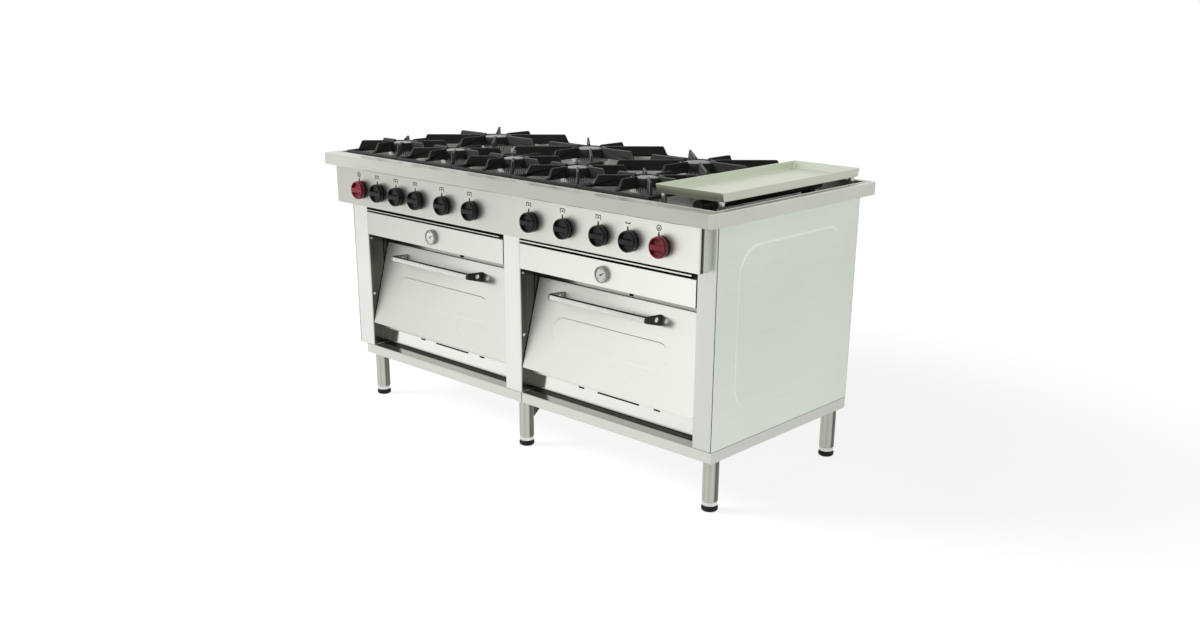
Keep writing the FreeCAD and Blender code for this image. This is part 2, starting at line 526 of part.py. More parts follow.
# One oven with its door, in the opening between two posts
def oven(side):
    low = side + "_low"
    high = side + "_high"
    mid = side + "_mid"
    opening = (low, high)

    # Valance with the thermometer
    valance_y = ("cab_front + sheet_metal", "cab_front + 2 * sheet_metal")
    gauge = (mid, "thermometer_height")
    plate = block(side + "_valance_plate", opening, valance_y, ("valance_bottom", "valance_top"))
    hole = rod(side + "_valance_hole", "y", gauge, valance_y, "bush_radius + loose_gap")
    valance = [cut(side + "_valance_drilled", plate, hole)]
    case = rod(side + "_gauge_case", "y", gauge, (f"{valance_y[0]} - thermometer_reach", valance_y[0]),
               "thermometer_radius")
    bush = rod(side + "_gauge_bush", "y", gauge, (valance_y[0], f"{valance_y[0]} + bush_length"), "bush_radius")
    piece(join(side + "_gauge", case, bush), side + "_thermometer")

    # Lower panel with its row of lighting slots
    lower_x = (f"{low} - sheet_metal", f"{high} + sheet_metal")
    lower_y = ("lower_front", "lower_back")
    lower = block(side + "_lower_sheet", lower_x, lower_y, ("ledge", "lower_panel_top"))
    slots = []
    for name, offset, length in (("long", "slot_shift", "long_slot"),
                                 ("near", "slot_shift - short_slot_offset", "short_slot"),
                                 ("far", "slot_shift + short_slot_offset", "short_slot")):
        slots.append(block(f"{side}_{name}_slot",
                           (f"{mid} + {offset} - {length} / 2", f"{mid} + {offset} + {length} / 2"), lower_y,
                           ("slot_height", "slot_height + slot_tall")))
    lower_panel = [cut(side + "_lower_slotted", lower, *slots)]

    # Oven box: a tube with a closed back, cut off along the lean of the door, a sealing flange and two cheeks
    box_x = (f"{low} + oven_side_inset", f"{high} - oven_side_inset")
    wall_x = (f"{box_x[0]} - sheet_metal", f"{box_x[1]} + sheet_metal")
    cavity = block(side + "_cavity", box_x, ("cab_front", "cab_front + oven_back"),
                   ("oven_floor", "oven_ceiling"))
    shell = block(side + "_shell", wall_x, ("cab_front", "cab_front + oven_back + sheet_metal"),
                  ("oven_floor - sheet_metal", "oven_ceiling + sheet_metal"))
    before_mouth = lean(group(side + "_before_mouth", [
        block(side + "_front_half", (f"{low} - oven_side_inset", f"{high} + oven_side_inset"),
              ("-oven_back", "flange_back"), ("-oven_back", "oven_back"))]))
    behind_flange = lean(group(side + "_behind_flange", [
        block(side + "_rear_half", (f"{low} - oven_side_inset", f"{high} + oven_side_inset"),
              ("flange_back", "oven_back + flange_back"), ("-oven_back", "oven_back"))]))
    tube = cut(side + "_tube", shell, group(side + "_tube_hollow", [cavity]), before_mouth)
    flange_plate = lean(group(side + "_flange_plate", [
        block(side + "_flange_blank", opening, ("flange_front", "flange_back"),
              ("flange_bottom - hinge_height", "flange_top - hinge_height"))]))
    flange = cut(side + "_flange", flange_plate, cavity)
    cheeks = []
    ledges = []
    rack_seat = "rack_height - rack_rod_radius"
    for end, cheek_x, ledge_x in (
            ("near", (f"{low} - sheet_metal", low), (box_x[0], f"{box_x[0]} + rack_ledge")),
            ("far", (high, f"{high} + sheet_metal"), (f"{box_x[1]} - rack_ledge", box_x[1]))):
        sheet_blank = block(f"{side}_{end}_cheek_blank", cheek_x,
                            ("lower_back + cheek_gap", "cab_front + oven_back"),
                            ("lower_panel_top", "flange_top - seal_gap"))
        cheeks.append(cut(f"{side}_{end}_cheek", sheet_blank, behind_flange))
        ledges.append(block(f"{side}_{end}_ledge", ledge_x,
                            ("cab_front + rack_start", "cab_front + oven_back"),
                            (f"{rack_seat} - rack_ledge", rack_seat)))
    piece(join(side + "_oven_folded", tube, flange, *cheeks, *ledges), side + "_oven_box")

    # Wire rack on the ledges
    rack_y = ("cab_front + rack_start", "cab_front + rack_start + rack_depth")
    wires = [
        rod(f"{side}_rack_{name}", "x", (y, "rack_height"),
            (f"{box_x[0]} + loose_gap", f"{box_x[1]} - loose_gap"), "rack_rod_radius")
        for name, y in (("front", f"{rack_y[0]} + 2 * rack_rod_radius"),
                        ("back", f"{rack_y[1]} - 2 * rack_rod_radius"))]
    for number in range(RACK_WIRES):
        across = f"({number + 1} / {RACK_WIRES + 1})"
        wires.append(rod(f"{side}_rack_wire_{number}", "y",
                         (f"{box_x[0]} + (({box_x[1]}) - ({box_x[0]})) * {across}", "rack_height + rack_wire_lift"),
                         rack_y, "rack_wire_radius"))
    rack = [join(side + "_rack_wires", *wires)]
    burner_tube = [rod(side + "_burner_tube", "y", (mid, "oven_burner_height"), ("lower_back", "back_inside"),
                       "oven_burner_radius")]

    # Door, drawn upright about its hinge line and then leaned back
    skin_x = (f"{low} + door_side_gap", f"{high} - door_side_gap")
    core_x = (f"{skin_x[0]} + sheet_metal", f"{skin_x[1]} - sheet_metal")
    skin_z = ("-door_below_hinge", "door_above_hinge")
    pan_outside = block(side + "_pan_outside", skin_x, ("-door_front_to_hinge", "door_back"), skin_z)
    core_space = (core_x, ("sheet_metal - door_front_to_hinge", "door_back"),
                  ("sheet_metal - door_below_hinge", "door_above_hinge - sheet_metal"))
    pan_inside = block(side + "_pan_inside", *core_space)
    field = pressed_field(side + "_door_field", "XZ_Plane", "door_emboss_width", "door_emboss_height",
                          "door_emboss_radius")
    bind(field, {"Placement.Base.x": f"{mid} - door_emboss_shift", "Placement.Base.y": "-door_front_to_hinge",
                 "Placement.Base.z": "door_emboss_rise"})
    pin_passage = rod(side + "_pin_passage", "x", ("0", "0"), skin_x, "pin_radius + loose_gap")
    pan = cut(side + "_pan", join(side + "_pan_pressed", pan_outside, field), pan_inside, pin_passage)
    piece(lean(pan), side + "_door_skin")
    bores = [
        rod(f"{side}_{end}_bore", "x", ("0", "0"), reach, "pin_radius + running_gap")
        for end, reach in (("near", (core_x[0], f"{skin_x[0]} + pin_length")),
                           ("far", (f"{skin_x[1]} - pin_length", core_x[1])))]
    core_hollow = block(side + "_core_hollow", (f"{core_x[0]} + hinge_block", f"{core_x[1]} - hinge_block"),
                        (core_space[1][0], "door_back - sheet_metal"),
                        (f"{core_space[2][0]} + sheet_metal", f"{core_space[2][1]} - sheet_metal"))
    core_blank = block(side + "_core_blank", *core_space)
    piece(lean(cut(side + "_core", core_blank, core_hollow, *bores)), side + "_door_core")

    # Handle: a bar between two plates with round noses, a spigot at each of its ends
    bar_line = ("-door_front_to_hinge - handle_reach", "handle_rise")
    bar_x = (f"{mid} - handle_shift - handle_half_length", f"{mid} - handle_shift + handle_half_length")
    spigot_x = (f"{bar_x[0]} - spigot_length", f"{bar_x[1]} + spigot_length")
    bar = join(side + "_bar",
               rod(side + "_bar_round", "x", bar_line, bar_x, "handle_radius"),
               rod(side + "_bar_spigots", "x", bar_line, spigot_x, "spigot_radius"))
    piece(lean(bar), side + "_handle_bar")
    brackets = []
    for end, x in (("near", f"{bar_x[0]} - bracket_width"), ("far", bar_x[1])):
        nose = rod(f"{side}_{end}_nose", "x", bar_line, (x, f"{x} + bracket_width"), "bracket_nose")
        arm = join(f"{side}_{end}_arm", bracket_arm(f"{side}_{end}_plate", x), nose)
        socket = rod(f"{side}_{end}_socket", "x", bar_line, spigot_x, "spigot_radius + running_gap")
        brackets.append(cut(f"{side}_{end}_bracket", arm, socket))
    piece(lean(group(side + "_brackets", brackets)), side + "_handle_brackets")

    # Hinge plates on the posts, with the pins that the door turns on
    pivots = []
    plate_rise = ("hinge_height - hinge_plate_half", "hinge_height + hinge_plate_half")
    plate_y = ("hinge_y - hinge_plate_half", "hinge_y + hinge_plate_half")
    for end, plate_x, pin_x in (
            ("near", (low, f"{low} + hinge_plate"), (f"{low} + hinge_plate", f"{low} + pin_length")),
            ("far", (f"{high} - hinge_plate", high), (f"{high} - pin_length", f"{high} - hinge_plate"))):
        pivots.append(join(f"{side}_{end}_pivot",
                           block(f"{side}_{end}_plate", plate_x, plate_y, plate_rise),
                           rod(f"{side}_{end}_pin", "x", ("hinge_y", "hinge_height"), pin_x, "pin_radius")))

    # Drip tray on two runners
    tray_x = (f"{low} + tray_side_gap", f"{high} - tray_side_gap")
    tray_y = ("cab_front", "cab_front + tray_depth")
    tray_outside = block(side + "_tray_outside", tray_x, tray_y, ("tray_bottom", "tray_bottom + tray_height"))
    tray_inside = block(side + "_tray_inside", (f"{tray_x[0]} + sheet_metal", f"{tray_x[1]} - sheet_metal"),
                        (f"{tray_y[0]} + sheet_metal", f"{tray_y[1]} - sheet_metal"),
                        ("tray_bottom + sheet_metal", "tray_bottom + tray_height"))
    piece(cut(side + "_tray", tray_outside, tray_inside), side + "_drip_tray")
    runners = [
        block(f"{side}_{end}_runner", x, ("cab_front + 2 * sheet_metal", "back_inside"),
              ("tray_bottom - sheet_metal", "tray_bottom"))
        for end, x in (("near", (low, f"{low} + runner_width")), ("far", (f"{high} - runner_width", high)))]

    # Screw heads on the inner sides of the posts
    heads = []
    for level in ("upper_screw", "lower_screw"):
        for end, reach in (("near", (low, f"{low} + screw_rise")), ("far", (f"{high} - screw_rise", high))):
            heads.append(rod(f"{side}_{end}_{level}", "x", ("cab_front + screw_setback", level), reach,
                             "screw_radius"))
    return pivots, runners, heads, valance, lower_panel, rack, burner_tube


left_fittings = oven("left")
right_fittings = oven("right")
FITTINGS = ("hinge_plates", "tray_runners", "post_screws", "valances", "lower_panels", "oven_racks", "oven_burners")
for left_items, right_items, label in zip(left_fittings, right_fittings, FITTINGS):
    piece(group(label + "_pair", left_items + right_items), label)


# Open burners: a head with a wide crown of ports on the deck, and a loose cap
def burner(name, x, y, size):
    line = (x, y)
    head = join(name + "_head",
                rod(name + "_body", "z", line, ("burner_floor", "port_crown_bottom"),
                    f"{size}_ring_radius - burner_wall"),
                rod(name + "_port_crown", "z", line, ("port_crown_bottom", "burner_cap_bottom"),
                    f"{size}_ring_radius"))
    disc = rod(name + "_disc", "z", line, ("burner_cap_bottom", "cap_top"), f"{size}_cap_radius")
    crown = taper(name + "_crown", "z", line, ("cap_top", "cap_top + burner_cap_crown"),
                  (f"{size}_cap_radius", f"{size}_cap_radius - cap_crown_inset"))
    return head, join(name + "_cap", disc, crown)


# Grates: a square of bars with eight upright fins round a tall ring
def fin(name, x, y, turn, start, end):
    """An upright plate with a sloping outer end, from the middle of a grate outwards at an angle."""
    upright = FreeCAD.Rotation(FreeCAD.Vector(1, 0, 0), 90)
    aimed = FreeCAD.Rotation(FreeCAD.Vector(0, 0, 1), turn)
    item = doc.addObject("Part::Wedge", name)
    item.Placement = FreeCAD.Placement(FreeCAD.Vector(), aimed.multiply(upright))
    return bind(item, {
        "Xmin": start, "Xmax": end, "X2min": start, "X2max": f"{end} - fin_slope",
        "Ymin": "0", "Ymax": "fin_height",
        "Zmin": "-fin_thickness / 2", "Zmax": "fin_thickness / 2",
        "Z2min": "-fin_thickness / 2", "Z2max": "fin_thickness / 2",
        "Placement.Base.x": x, "Placement.Base.y": y, "Placement.Base.z": "fin_bottom",
    })


def grate(name, x, y, width, depth, size):
    half = {"x": f"({width} - grate_gap) / 2", "y": f"({depth} - grate_gap) / 2"}
    reach_x = (f"{x} - {half['x']}", f"{x} + {half['x']}")
    reach_y = (f"{y} - {half['y']}", f"{y} + {half['y']}")
    rise = ("rib_top", "fin_bottom")
    frame = cut(name + "_frame", block(name + "_outside", reach_x, reach_y, rise),
                block(name + "_inside", (f"{reach_x[0]} + grate_bar_width", f"{reach_x[1]} - grate_bar_width"),
                      (f"{reach_y[0]} + grate_bar_width", f"{reach_y[1]} - grate_bar_width"), rise))
    ring_rise = ("ring_bottom", "ring_bottom + ring_height")
    ring = cut(name + "_ring", rod(name + "_ring_outside", "z", (x, y), ring_rise, f"{size}_ring_radius"),
               rod(name + "_ring_inside", "z", (x, y), ring_rise, f"{size}_ring_radius - ring_width"))
    fins = []
    for step in range(8):
        straight = half["x"] if step in (0, 4) else half["y"]
        end = f"{size}_corner_fin" if step % 2 else f"{straight} - fin_end_gap"
        fins.append(fin(f"{name}_fin_{step}", x, y, 45 * step, f"{size}_fin_start", end))
    return join(name + "_cast", frame, ring, *fins)


heads = []
caps = []
cells = [("front", number, f"grate_left + ({number} - 0.5) * front_grate_width",
          "grate_front + front_grate_depth / 2", "front_grate_width", "front_grate_depth")
         for number in range(1, 6)]
cells += [("rear", number, f"grate_left + ({number} - 0.5) * rear_grate_width",
           "row_split + rear_grate_depth / 2", "rear_grate_width", "rear_grate_depth") for number in range(1, 4)]
for size, number, x, y, width, depth in cells:
    name = f"{size}_grate_{number}"
    head, cap = burner(f"{size}_burner_{number}", x, y, size)
    heads.append(head)
    caps.append(cap)
    piece(grate(name + "_bars", x, y, width, depth, size), name)
piece(group("head_set", heads), "burner_heads")
piece(group("cap_set", caps), "burner_caps")

# Griddle tray on four pegs, with its tube burner below
griddle_span = ("griddle_left", "griddle_right")


def flared_tray(name, wall, floor):
    """A tray-shaped block whose sides lean outwards from its floor up to its rim."""
    item = doc.addObject("Part::Wedge", name)
    item.Placement = FreeCAD.Placement(FreeCAD.Vector(), FreeCAD.Rotation(FreeCAD.Vector(1, 0, 0), 90))
    return bind(item, {
        "Xmin": f"griddle_left + griddle_flare + {wall}", "Xmax": f"griddle_right - griddle_flare - {wall}",
        "X2min": f"griddle_left + {wall}", "X2max": f"griddle_right - {wall}",
        "Ymin": f"griddle_bottom + {floor}", "Ymax": "griddle_bottom + griddle_height",
        "Zmin": f"-griddle_back + griddle_flare + {wall}", "Zmax": f"-griddle_front - griddle_flare - {wall}",
        "Z2min": f"-griddle_back + {wall}", "Z2max": f"-griddle_front - {wall}",
    })


pegs = []
for x_name, x in (("near", "griddle_left + griddle_flare + peg_inset"),
                  ("far", "griddle_right - griddle_flare - peg_inset")):
    for y_name, y in (("front", "griddle_front + griddle_flare + peg_inset"),
                      ("rear", "griddle_back - griddle_flare - peg_inset")):
        pegs.append(rod(f"{x_name}_{y_name}_peg", "z", (x, y), ("burner_floor", "griddle_bottom"), "peg_radius"))
tray = cut("griddle_tray", flared_tray("griddle_outside", "0", "0"),
           flared_tray("griddle_inside", "griddle_wall", "griddle_wall"))
piece(join("griddle_on_pegs", tray, *pegs), "griddle")
burner_line = ("griddle_mid", "griddle_burner_height")
burner_reach = ("griddle_front + griddle_burner_inset", "griddle_back - griddle_burner_inset")
saddles = []
for name, y in (("front", "griddle_front + saddle_inset"), ("rear", "griddle_back - saddle_inset")):
    saddles.append(block(f"{name}_saddle",
                         ("griddle_mid - griddle_burner_radius", "griddle_mid + griddle_burner_radius"),
                         (f"{y} - saddle_width / 2", f"{y} + saddle_width / 2"),
                         ("burner_floor", "griddle_burner_height")))
piece(join("griddle_tube", rod("griddle_pipe", "y", burner_line, burner_reach, "griddle_burner_radius"), *saddles),
      "griddle_burner")

doc.recompute()

# Every object has to be sound before anything is written
faults = [item.Label for item in doc.Objects if "Invalid" in item.State or "Error" in item.State]
for item in PIECES:
    if item.Shape.isNull() or not item.Shape.isValid():
        faults.append(item.Label)
if faults:
    raise RuntimeError("these objects did not build: " + ", ".join(faults))

os.makedirs("parts", exist_ok=True)
for item in PIECES:
    item.Shape.exportStep(f"parts/{item.Label}.step")
print(f"{len(PIECES)} pieces written")
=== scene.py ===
from math import cos, radians, sin

import bpy
import numpy as np
from mathutils import Matrix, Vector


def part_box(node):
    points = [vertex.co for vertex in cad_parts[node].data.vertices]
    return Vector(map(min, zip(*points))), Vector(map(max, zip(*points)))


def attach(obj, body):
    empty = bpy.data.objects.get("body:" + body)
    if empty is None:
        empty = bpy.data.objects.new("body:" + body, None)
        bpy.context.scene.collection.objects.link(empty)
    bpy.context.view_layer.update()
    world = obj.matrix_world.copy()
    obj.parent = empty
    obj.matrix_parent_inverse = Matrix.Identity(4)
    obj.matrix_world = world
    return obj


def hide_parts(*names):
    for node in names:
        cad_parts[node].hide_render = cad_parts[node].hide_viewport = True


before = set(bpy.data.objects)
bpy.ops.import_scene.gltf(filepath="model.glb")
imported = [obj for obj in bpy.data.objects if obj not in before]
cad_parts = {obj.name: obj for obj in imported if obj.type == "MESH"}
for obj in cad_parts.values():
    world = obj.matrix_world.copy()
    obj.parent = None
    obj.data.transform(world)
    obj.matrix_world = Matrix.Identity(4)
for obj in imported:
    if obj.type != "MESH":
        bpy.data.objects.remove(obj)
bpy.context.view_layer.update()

# A free-standing gas range. Shapes are worked out in millimetres and stored in metres.
MM = 1000.0
HOLD = 0.6
SIDES = ("left", "right")
HALF_WIDTH = 0.825


def corners(node):
    """A node's lowest and highest corner, in millimetres."""
    low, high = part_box(node)
    return np.array(low) * MM, np.array(high) * MM


def middle(node):
    low, high = corners(node)
    return (low + high) / 2


def spans(node):
    """A node's reach along x, y and z, in millimetres."""
    return list(zip(*corners(node)))


# Shapes: each is points, quads, end faces and a value for each point that pales edges, and that carries the painted
# reflections on the legs and the painted shade between burner ports
def wrapped_quads(rows, columns, looped):
    """Quads of a grid whose columns close round, and its rows if looped: (i, j), (i, j+1), (i+1, j+1), (i+1, j)."""
    first = np.arange(rows if looped else rows - 1)[:, None] * columns
    here = np.arange(columns)
    ahead = (here + 1) % columns
    stack = [first + here, first + ahead, first + ahead + columns, first + here + columns]
    return np.stack(stack, axis=-1).reshape(-1, 4) % (rows * columns)


def enclosed(points, quads, ends):
    """Six times the volume inside the faces: the sum of a . (b x c) over their triangles."""
    total = 0.0
    fans = [(quads[:, 0], quads[:, 1], quads[:, 2]), (quads[:, 0], quads[:, 2], quads[:, 3])]
    fans += [(np.full(len(end) - 2, end[0]), end[1:-1], end[2:]) for end in ends]
    for a, b, c in fans:
        total += np.einsum("ij,ij->", points[a], np.cross(points[b], points[c]))
    return total


def skin(rings, edge_marks_and_painted_light=None, looped=False):
    """Rings of points joined in order; flat faces close both ends, or the last ring joins the first."""
    rings = np.asarray(rings, float)
    rows, columns = rings.shape[:2]
    points = rings.reshape(-1, 3)
    quads = wrapped_quads(rows, columns, looped)
    ends = [] if looped else [np.arange(columns)[::-1], (rows - 1) * columns + np.arange(columns)]
    if enclosed(points - points.mean(axis=0), quads, ends) < 0:
        quads = quads[:, ::-1]
        ends = [end[::-1] for end in ends]
    edge_marks_and_painted_light = np.zeros(rows) if edge_marks_and_painted_light is None else np.asarray(edge_marks_and_painted_light, float)
    painted_light_and_edge_marks = np.broadcast_to(edge_marks_and_painted_light if edge_marks_and_painted_light.ndim == 2 else edge_marks_and_painted_light[:, None], (rows, columns))
    return points, quads, ends, painted_light_and_edge_marks.reshape(-1)


def lay(flat, height, axis):
    """Plane points (u, v) at a height along an axis, as x, y, z; u and v are the other two axes in order."""
    u = flat[..., 0]
    v = flat[..., 1]
    w = np.broadcast_to(height, u.shape)
    return np.stack({"x": (w, u, v), "y": (u, w, v), "z": (u, v, w)}[axis], axis=-1)


def rounded_rectangle(wide, tall, corner, steps=6):
    """Corner centres at (+-(w/2 - r), +-(t/2 - r)), each with a quarter circle r (cos a, sin a).

    One more point on the straight side next to each end of an arc keeps the flat sides flat in their shading.
    """
    turn = np.arange(4)[:, None] * np.pi / 2 + np.linspace(0, np.pi / 2, steps)
    half = np.array([wide, tall]) / 2 - corner
    arc = np.array([(1, 1), (-1, 1), (-1, -1), (1, -1)])[:, None] * half + circle(corner, turn)
    ahead = circle(1, turn + np.pi / 2)
    across, along = np.minimum(0.3 * corner + 0.2, 0.4 * half)
    before = np.array([along, across, along, across])[:, None, None]
    after = np.array([across, along, across, along])[:, None, None]
    first = arc[:, :1] - before * ahead[:, :1]
    last = arc[:, -1:] + after * ahead[:, -1:]
    return np.concatenate([first, arc, last], axis=1).reshape(-1, 2)


def ring_of(wide, tall, corner, centre, level, axis, steps=6):
    """A rounded rectangle about a centre, at a level along an axis."""
    return lay(rounded_rectangle(wide, tall, corner, steps) + np.asarray(centre), level, axis)


def circle(radius, a):
    """Plane points (r cos a, r sin a)."""
    return np.stack([radius * np.cos(a), radius * np.sin(a)], axis=-1)


def spun(flat, turn):
    """Plane points turned about the origin: (u cos t - v sin t, u sin t + v cos t)."""
    u, v = flat.T
    return np.stack([u * cos(turn) - v * sin(turn), u * sin(turn) + v * cos(turn)], axis=1)


def rounded_polygon(points, radius, steps=5):
    """Each corner C becomes the curve (1-t)^2 A + 2t(1-t) C + t^2 B, with A and B on its sides, radius away.

    One more point on each side of the curve keeps the flat sides flat in their shading.
    """
    points = np.asarray(points, float)
    radius = np.broadcast_to(np.asarray(radius, float), len(points))[:, None]

    def towards(step):
        """Where the curves meet the sides that lead to a neighbour, and a place a little further along each."""
        way = np.roll(points, step, axis=0) - points
        length = np.linalg.norm(way, axis=1, keepdims=True)
        spare = np.maximum(length - radius - np.roll(radius, step, axis=0), 0)
        meets = points + way / length * radius
        return meets, meets + way / length * np.minimum(0.3 * radius + 0.2, 0.2 * spare)

    (start, first), (end, last) = towards(1), towards(-1)
    t = np.linspace(0, 1, steps)[None, :, None]
    curve = (1 - t) ** 2 * start[:, None] + 2 * t * (1 - t) * points[:, None] + t ** 2 * end[:, None]
    return np.concatenate([first[:, None], curve, last[:, None]], axis=1).reshape(-1, 2)


def drawn_in(outline, inset):
    """The outline moved inwards by inset along the mean of its two edge normals at each point."""
    area = np.sum(outline[:, 0] * np.roll(outline[:, 1], -1) - outline[:, 1] * np.roll(outline[:, 0], -1))
    edge = np.roll(outline, -1, axis=0) - outline
    edge = edge / np.maximum(np.linalg.norm(edge, axis=1, keepdims=True), 1e-9)
    normal = np.stack([-edge[:, 1], edge[:, 0]], axis=1) * np.sign(area)
    mean = normal + np.roll(normal, 1, axis=0)
    return outline + inset * mean / np.maximum(np.linalg.norm(mean, axis=1, keepdims=True), 1e-9)


def edge_steps(low, high, edge, steps=4):
    """Stations through a slab with rounded edges: inset e(1 - sin a) at depth e(1 - cos a), and how pale the edge is
    there.

    A station on the flat at each end of the curve keeps the flats flat in their shading.
    """
    a = np.linspace(0, np.pi / 2, steps)
    hold = min(0.8 * edge, 0.2 * (high - low - 2 * edge))
    inset = np.concatenate([[1.8 * edge], edge * (1 - np.sin(a)), [0.0]])
    depth = np.concatenate([[0.0], edge * (1 - np.cos(a)), [edge + hold]])
    painted_light_and_edge_marks = np.concatenate([[0.0], np.abs(np.sin(2 * a)) ** 0.5, [0.0]])
    pairs = ((inset, inset), (low + depth, high - depth), (painted_light_and_edge_marks, painted_light_and_edge_marks))
    return [np.concatenate([first, last[::-1]]) for first, last in pairs]


def plate(outline, span, axis, edge):
    """An outline carried along an axis, drawn in at both ends by a quarter round."""
    insets, levels, painted_light_and_edge_marks = edge_steps(*span, edge)
    rings = [lay(drawn_in(outline, inset), level, axis) for inset, level in zip(insets, levels)]
    return skin(rings, painted_light_and_edge_marks)


def block(x, y, z, axis="z", corner=2.0, edge=1.0):
    """A folded box: rounded rectangles stacked along an axis, drawn in at both ends by a quarter round."""
    reach = {"x": x, "y": y, "z": z}
    (u0, u1), (v0, v1) = [reach[letter] for letter in "xyz" if letter != axis]
    insets, levels, painted_light_and_edge_marks = edge_steps(*reach[axis], edge)
    centre = ((u0 + u1) / 2, (v0 + v1) / 2)
    rings = [ring_of(u1 - u0 - 2 * inset, v1 - v0 - 2 * inset, max(corner - inset, 0.15), centre, level, axis)
             for inset, level in zip(insets, levels)]
    return skin(rings, painted_light_and_edge_marks)


def held(profile, edge_marks_and_painted_light, looped):
    """Two more points near the ends of each long straight run, so that it stays flat in its shading."""
    if looped:
        profile, edge_marks_and_painted_light = (np.concatenate([run, run[:1]]) for run in (profile, edge_marks_and_painted_light))
    places, shares = [], []
    for start, end, first, last in zip(profile[:-1], profile[1:], edge_marks_and_painted_light[:-1], edge_marks_and_painted_light[1:]):
        length = np.linalg.norm(end - start)
        for share in (0.0, HOLD / length, 1 - HOLD / length) if length > 5 * HOLD else (0.0,):
            places.append(start + share * (end - start))
            shares.append(first + share * (last - first))
    if not looped:
        places.append(profile[-1])
        shares.append(edge_marks_and_painted_light[-1])
    return np.array(places), np.array(shares)


def turned(profile, centre, axis, steps=48, edge_marks_and_painted_light=None, looped=False):
    """A profile (r, h) spun round an axis: (r cos a, r sin a, h)."""
    profile = np.asarray(profile, float)
    edge_marks_and_painted_light = np.zeros(len(profile)) if edge_marks_and_painted_light is None else np.asarray(edge_marks_and_painted_light, float)
    profile, edge_marks_and_painted_light = held(profile, edge_marks_and_painted_light, looped)
    radius, height = profile.T
    a = np.linspace(0, 2 * np.pi, steps, endpoint=False)
    return skin(lay(circle(radius[:, None], a), height[:, None], axis) + np.asarray(centre, float), edge_marks_and_painted_light, looped)


def band(outer, inner, profile, corner):
    """A closed profile carried round a rectangle: at share s each side lies at outer + s (inner - outer)."""
    outer, inner = np.array(outer), np.array(inner)
    rings = []
    for share, level, radius in profile:
        sides = outer + share * (inner - outer)
        rings.append(ring_of(*(sides[:, 1] - sides[:, 0]), radius * corner, sides.mean(axis=1), level, "z"))
    return skin(rings, looped=True)


def steps_from(base, *steps):
    """Places at steps from a base place."""
    return [tuple(np.add(base, step)) for step in steps]


def moved(shape, offset):
    return (shape[0] + np.asarray(offset, float),) + shape[1:]


def round_head(centre, axis, radius, rise, facing=1):
    """A domed head: radius r cos a, height rise sin a, on a short skirt."""
    a = np.linspace(0, np.pi / 2 * 0.97, 7)
    profile = np.stack([radius * np.cos(a), facing * (0.35 * rise + 0.65 * rise * np.sin(a))], axis=1)
    profile = np.concatenate([[[radius, 0.0]], profile])
    return turned(profile, centre, axis, 20)


def smooth(x, low, high):
    """3t^2 - 2t^3 between low and high."""
    t = np.clip((x - low) / (high - low), 0, 1)
    return t * t * (3 - 2 * t)


# Finishes: node patterns on Object coordinates, kept by name
finishes = {}
EVEN = ((0.0, 1.0), (1.0, 1.0))


def paint(tone, shift=0.0):
    """A colour given as it shows on a screen, shifted and made linear."""
    c = np.clip(np.array(tone) + shift, 0, 255) / 255
    return tuple(float(v) for v in np.where(c <= 0.04045, c / 12.92, ((c + 0.055) / 1.055) ** 2.4)) + (1.0,)


class Nodes:
    """Short ways to add nodes to a tree and join them."""

    def __init__(self, tree):
        self.tree = tree

    def put(self, socket, value):
        if isinstance(value, bpy.types.NodeSocket):
            self.tree.links.new(value, socket)
        else:
            socket.default_value = value

    def node(self, kind, *values, operation=None, **inputs):
        made = self.tree.nodes.new(kind)
        if operation:
            made.operation = operation
        for socket, value in [*enumerate(values), *inputs.items()]:
            self.put(made.inputs[socket], value)
        return made

    def math(self, operation, *values, kind="ShaderNodeMath"):
        return self.node(kind, *values, operation=operation).outputs["Value"]


class Finish(Nodes):
    """A principled shader with patterns that feed its colour, roughness and normal."""

    def __init__(self, name, metallic=0.0, specular=0.5):
        material = bpy.data.materials.new(name)
        material.use_nodes = True
        finishes[name] = material
        super().__init__(material.node_tree)
        self.shader = self.tree.nodes["Principled BSDF"].inputs
        self.put(self.shader["Metallic"], metallic)
        self.put(self.shader["Specular IOR Level"], specular)
        self.place = self.node("ShaderNodeTexCoord").outputs["Object"]

    def noise(self, scale, stretch=(1, 1, 1), detail=3.0, rough=0.5):
        mapping = self.node("ShaderNodeMapping", Vector=self.place, Scale=stretch)
        made = self.node("ShaderNodeTexNoise", Vector=mapping.outputs["Vector"], Scale=scale, Detail=detail,
                         Roughness=rough)
        return made.outputs["Fac"]

    def ramp(self, factor, *stops):
        made = self.node("ShaderNodeValToRGB", Fac=factor)
        line = made.color_ramp
        for index, (position, colour) in enumerate(stops):
            mark = line.elements[index] if index < 2 else line.elements.new(position)
            mark.position = position
            mark.color = (colour, colour, colour, 1.0) if np.isscalar(colour) else colour
        return made.outputs["Color"]

    def mix(self, factor, first, second, blend="MIX"):
        made = self.tree.nodes.new("ShaderNodeMix")
        made.data_type = "RGBA"
        made.blend_type = blend
        for index, value in ((0, factor), (6, first), (7, second)):
            self.put(made.inputs[index], value)
        return made.outputs[2]

    def painted_light_and_edge_marks(self):
        made = self.tree.nodes.new("ShaderNodeAttribute")
        made.attribute_name = "edge_marks_and_painted_light"
        return made.outputs["Fac"]

    def across(self):
        """0 at the left end of the worktop, 1 at the right."""
        apart = self.node("ShaderNodeSeparateXYZ", Vector=self.place)
        reach = {"From Min": -HALF_WIDTH, "From Max": HALF_WIDTH}
        return self.node("ShaderNodeMapRange", Value=apart.outputs["X"], **reach).outputs["Result"]

    def show(self, colour, roughness, height=None, strength=0.0, distance=0.0008):
        """Feed the shader its colour, its roughness and, from a height, its normal."""
        self.put(self.shader["Base Color"], colour)
        self.put(self.shader["Roughness"], roughness)
        if height is not None:
            made = self.node("ShaderNodeBump", Height=height, Strength=strength, Distance=distance)
            self.put(self.shader["Normal"], made.outputs["Normal"])


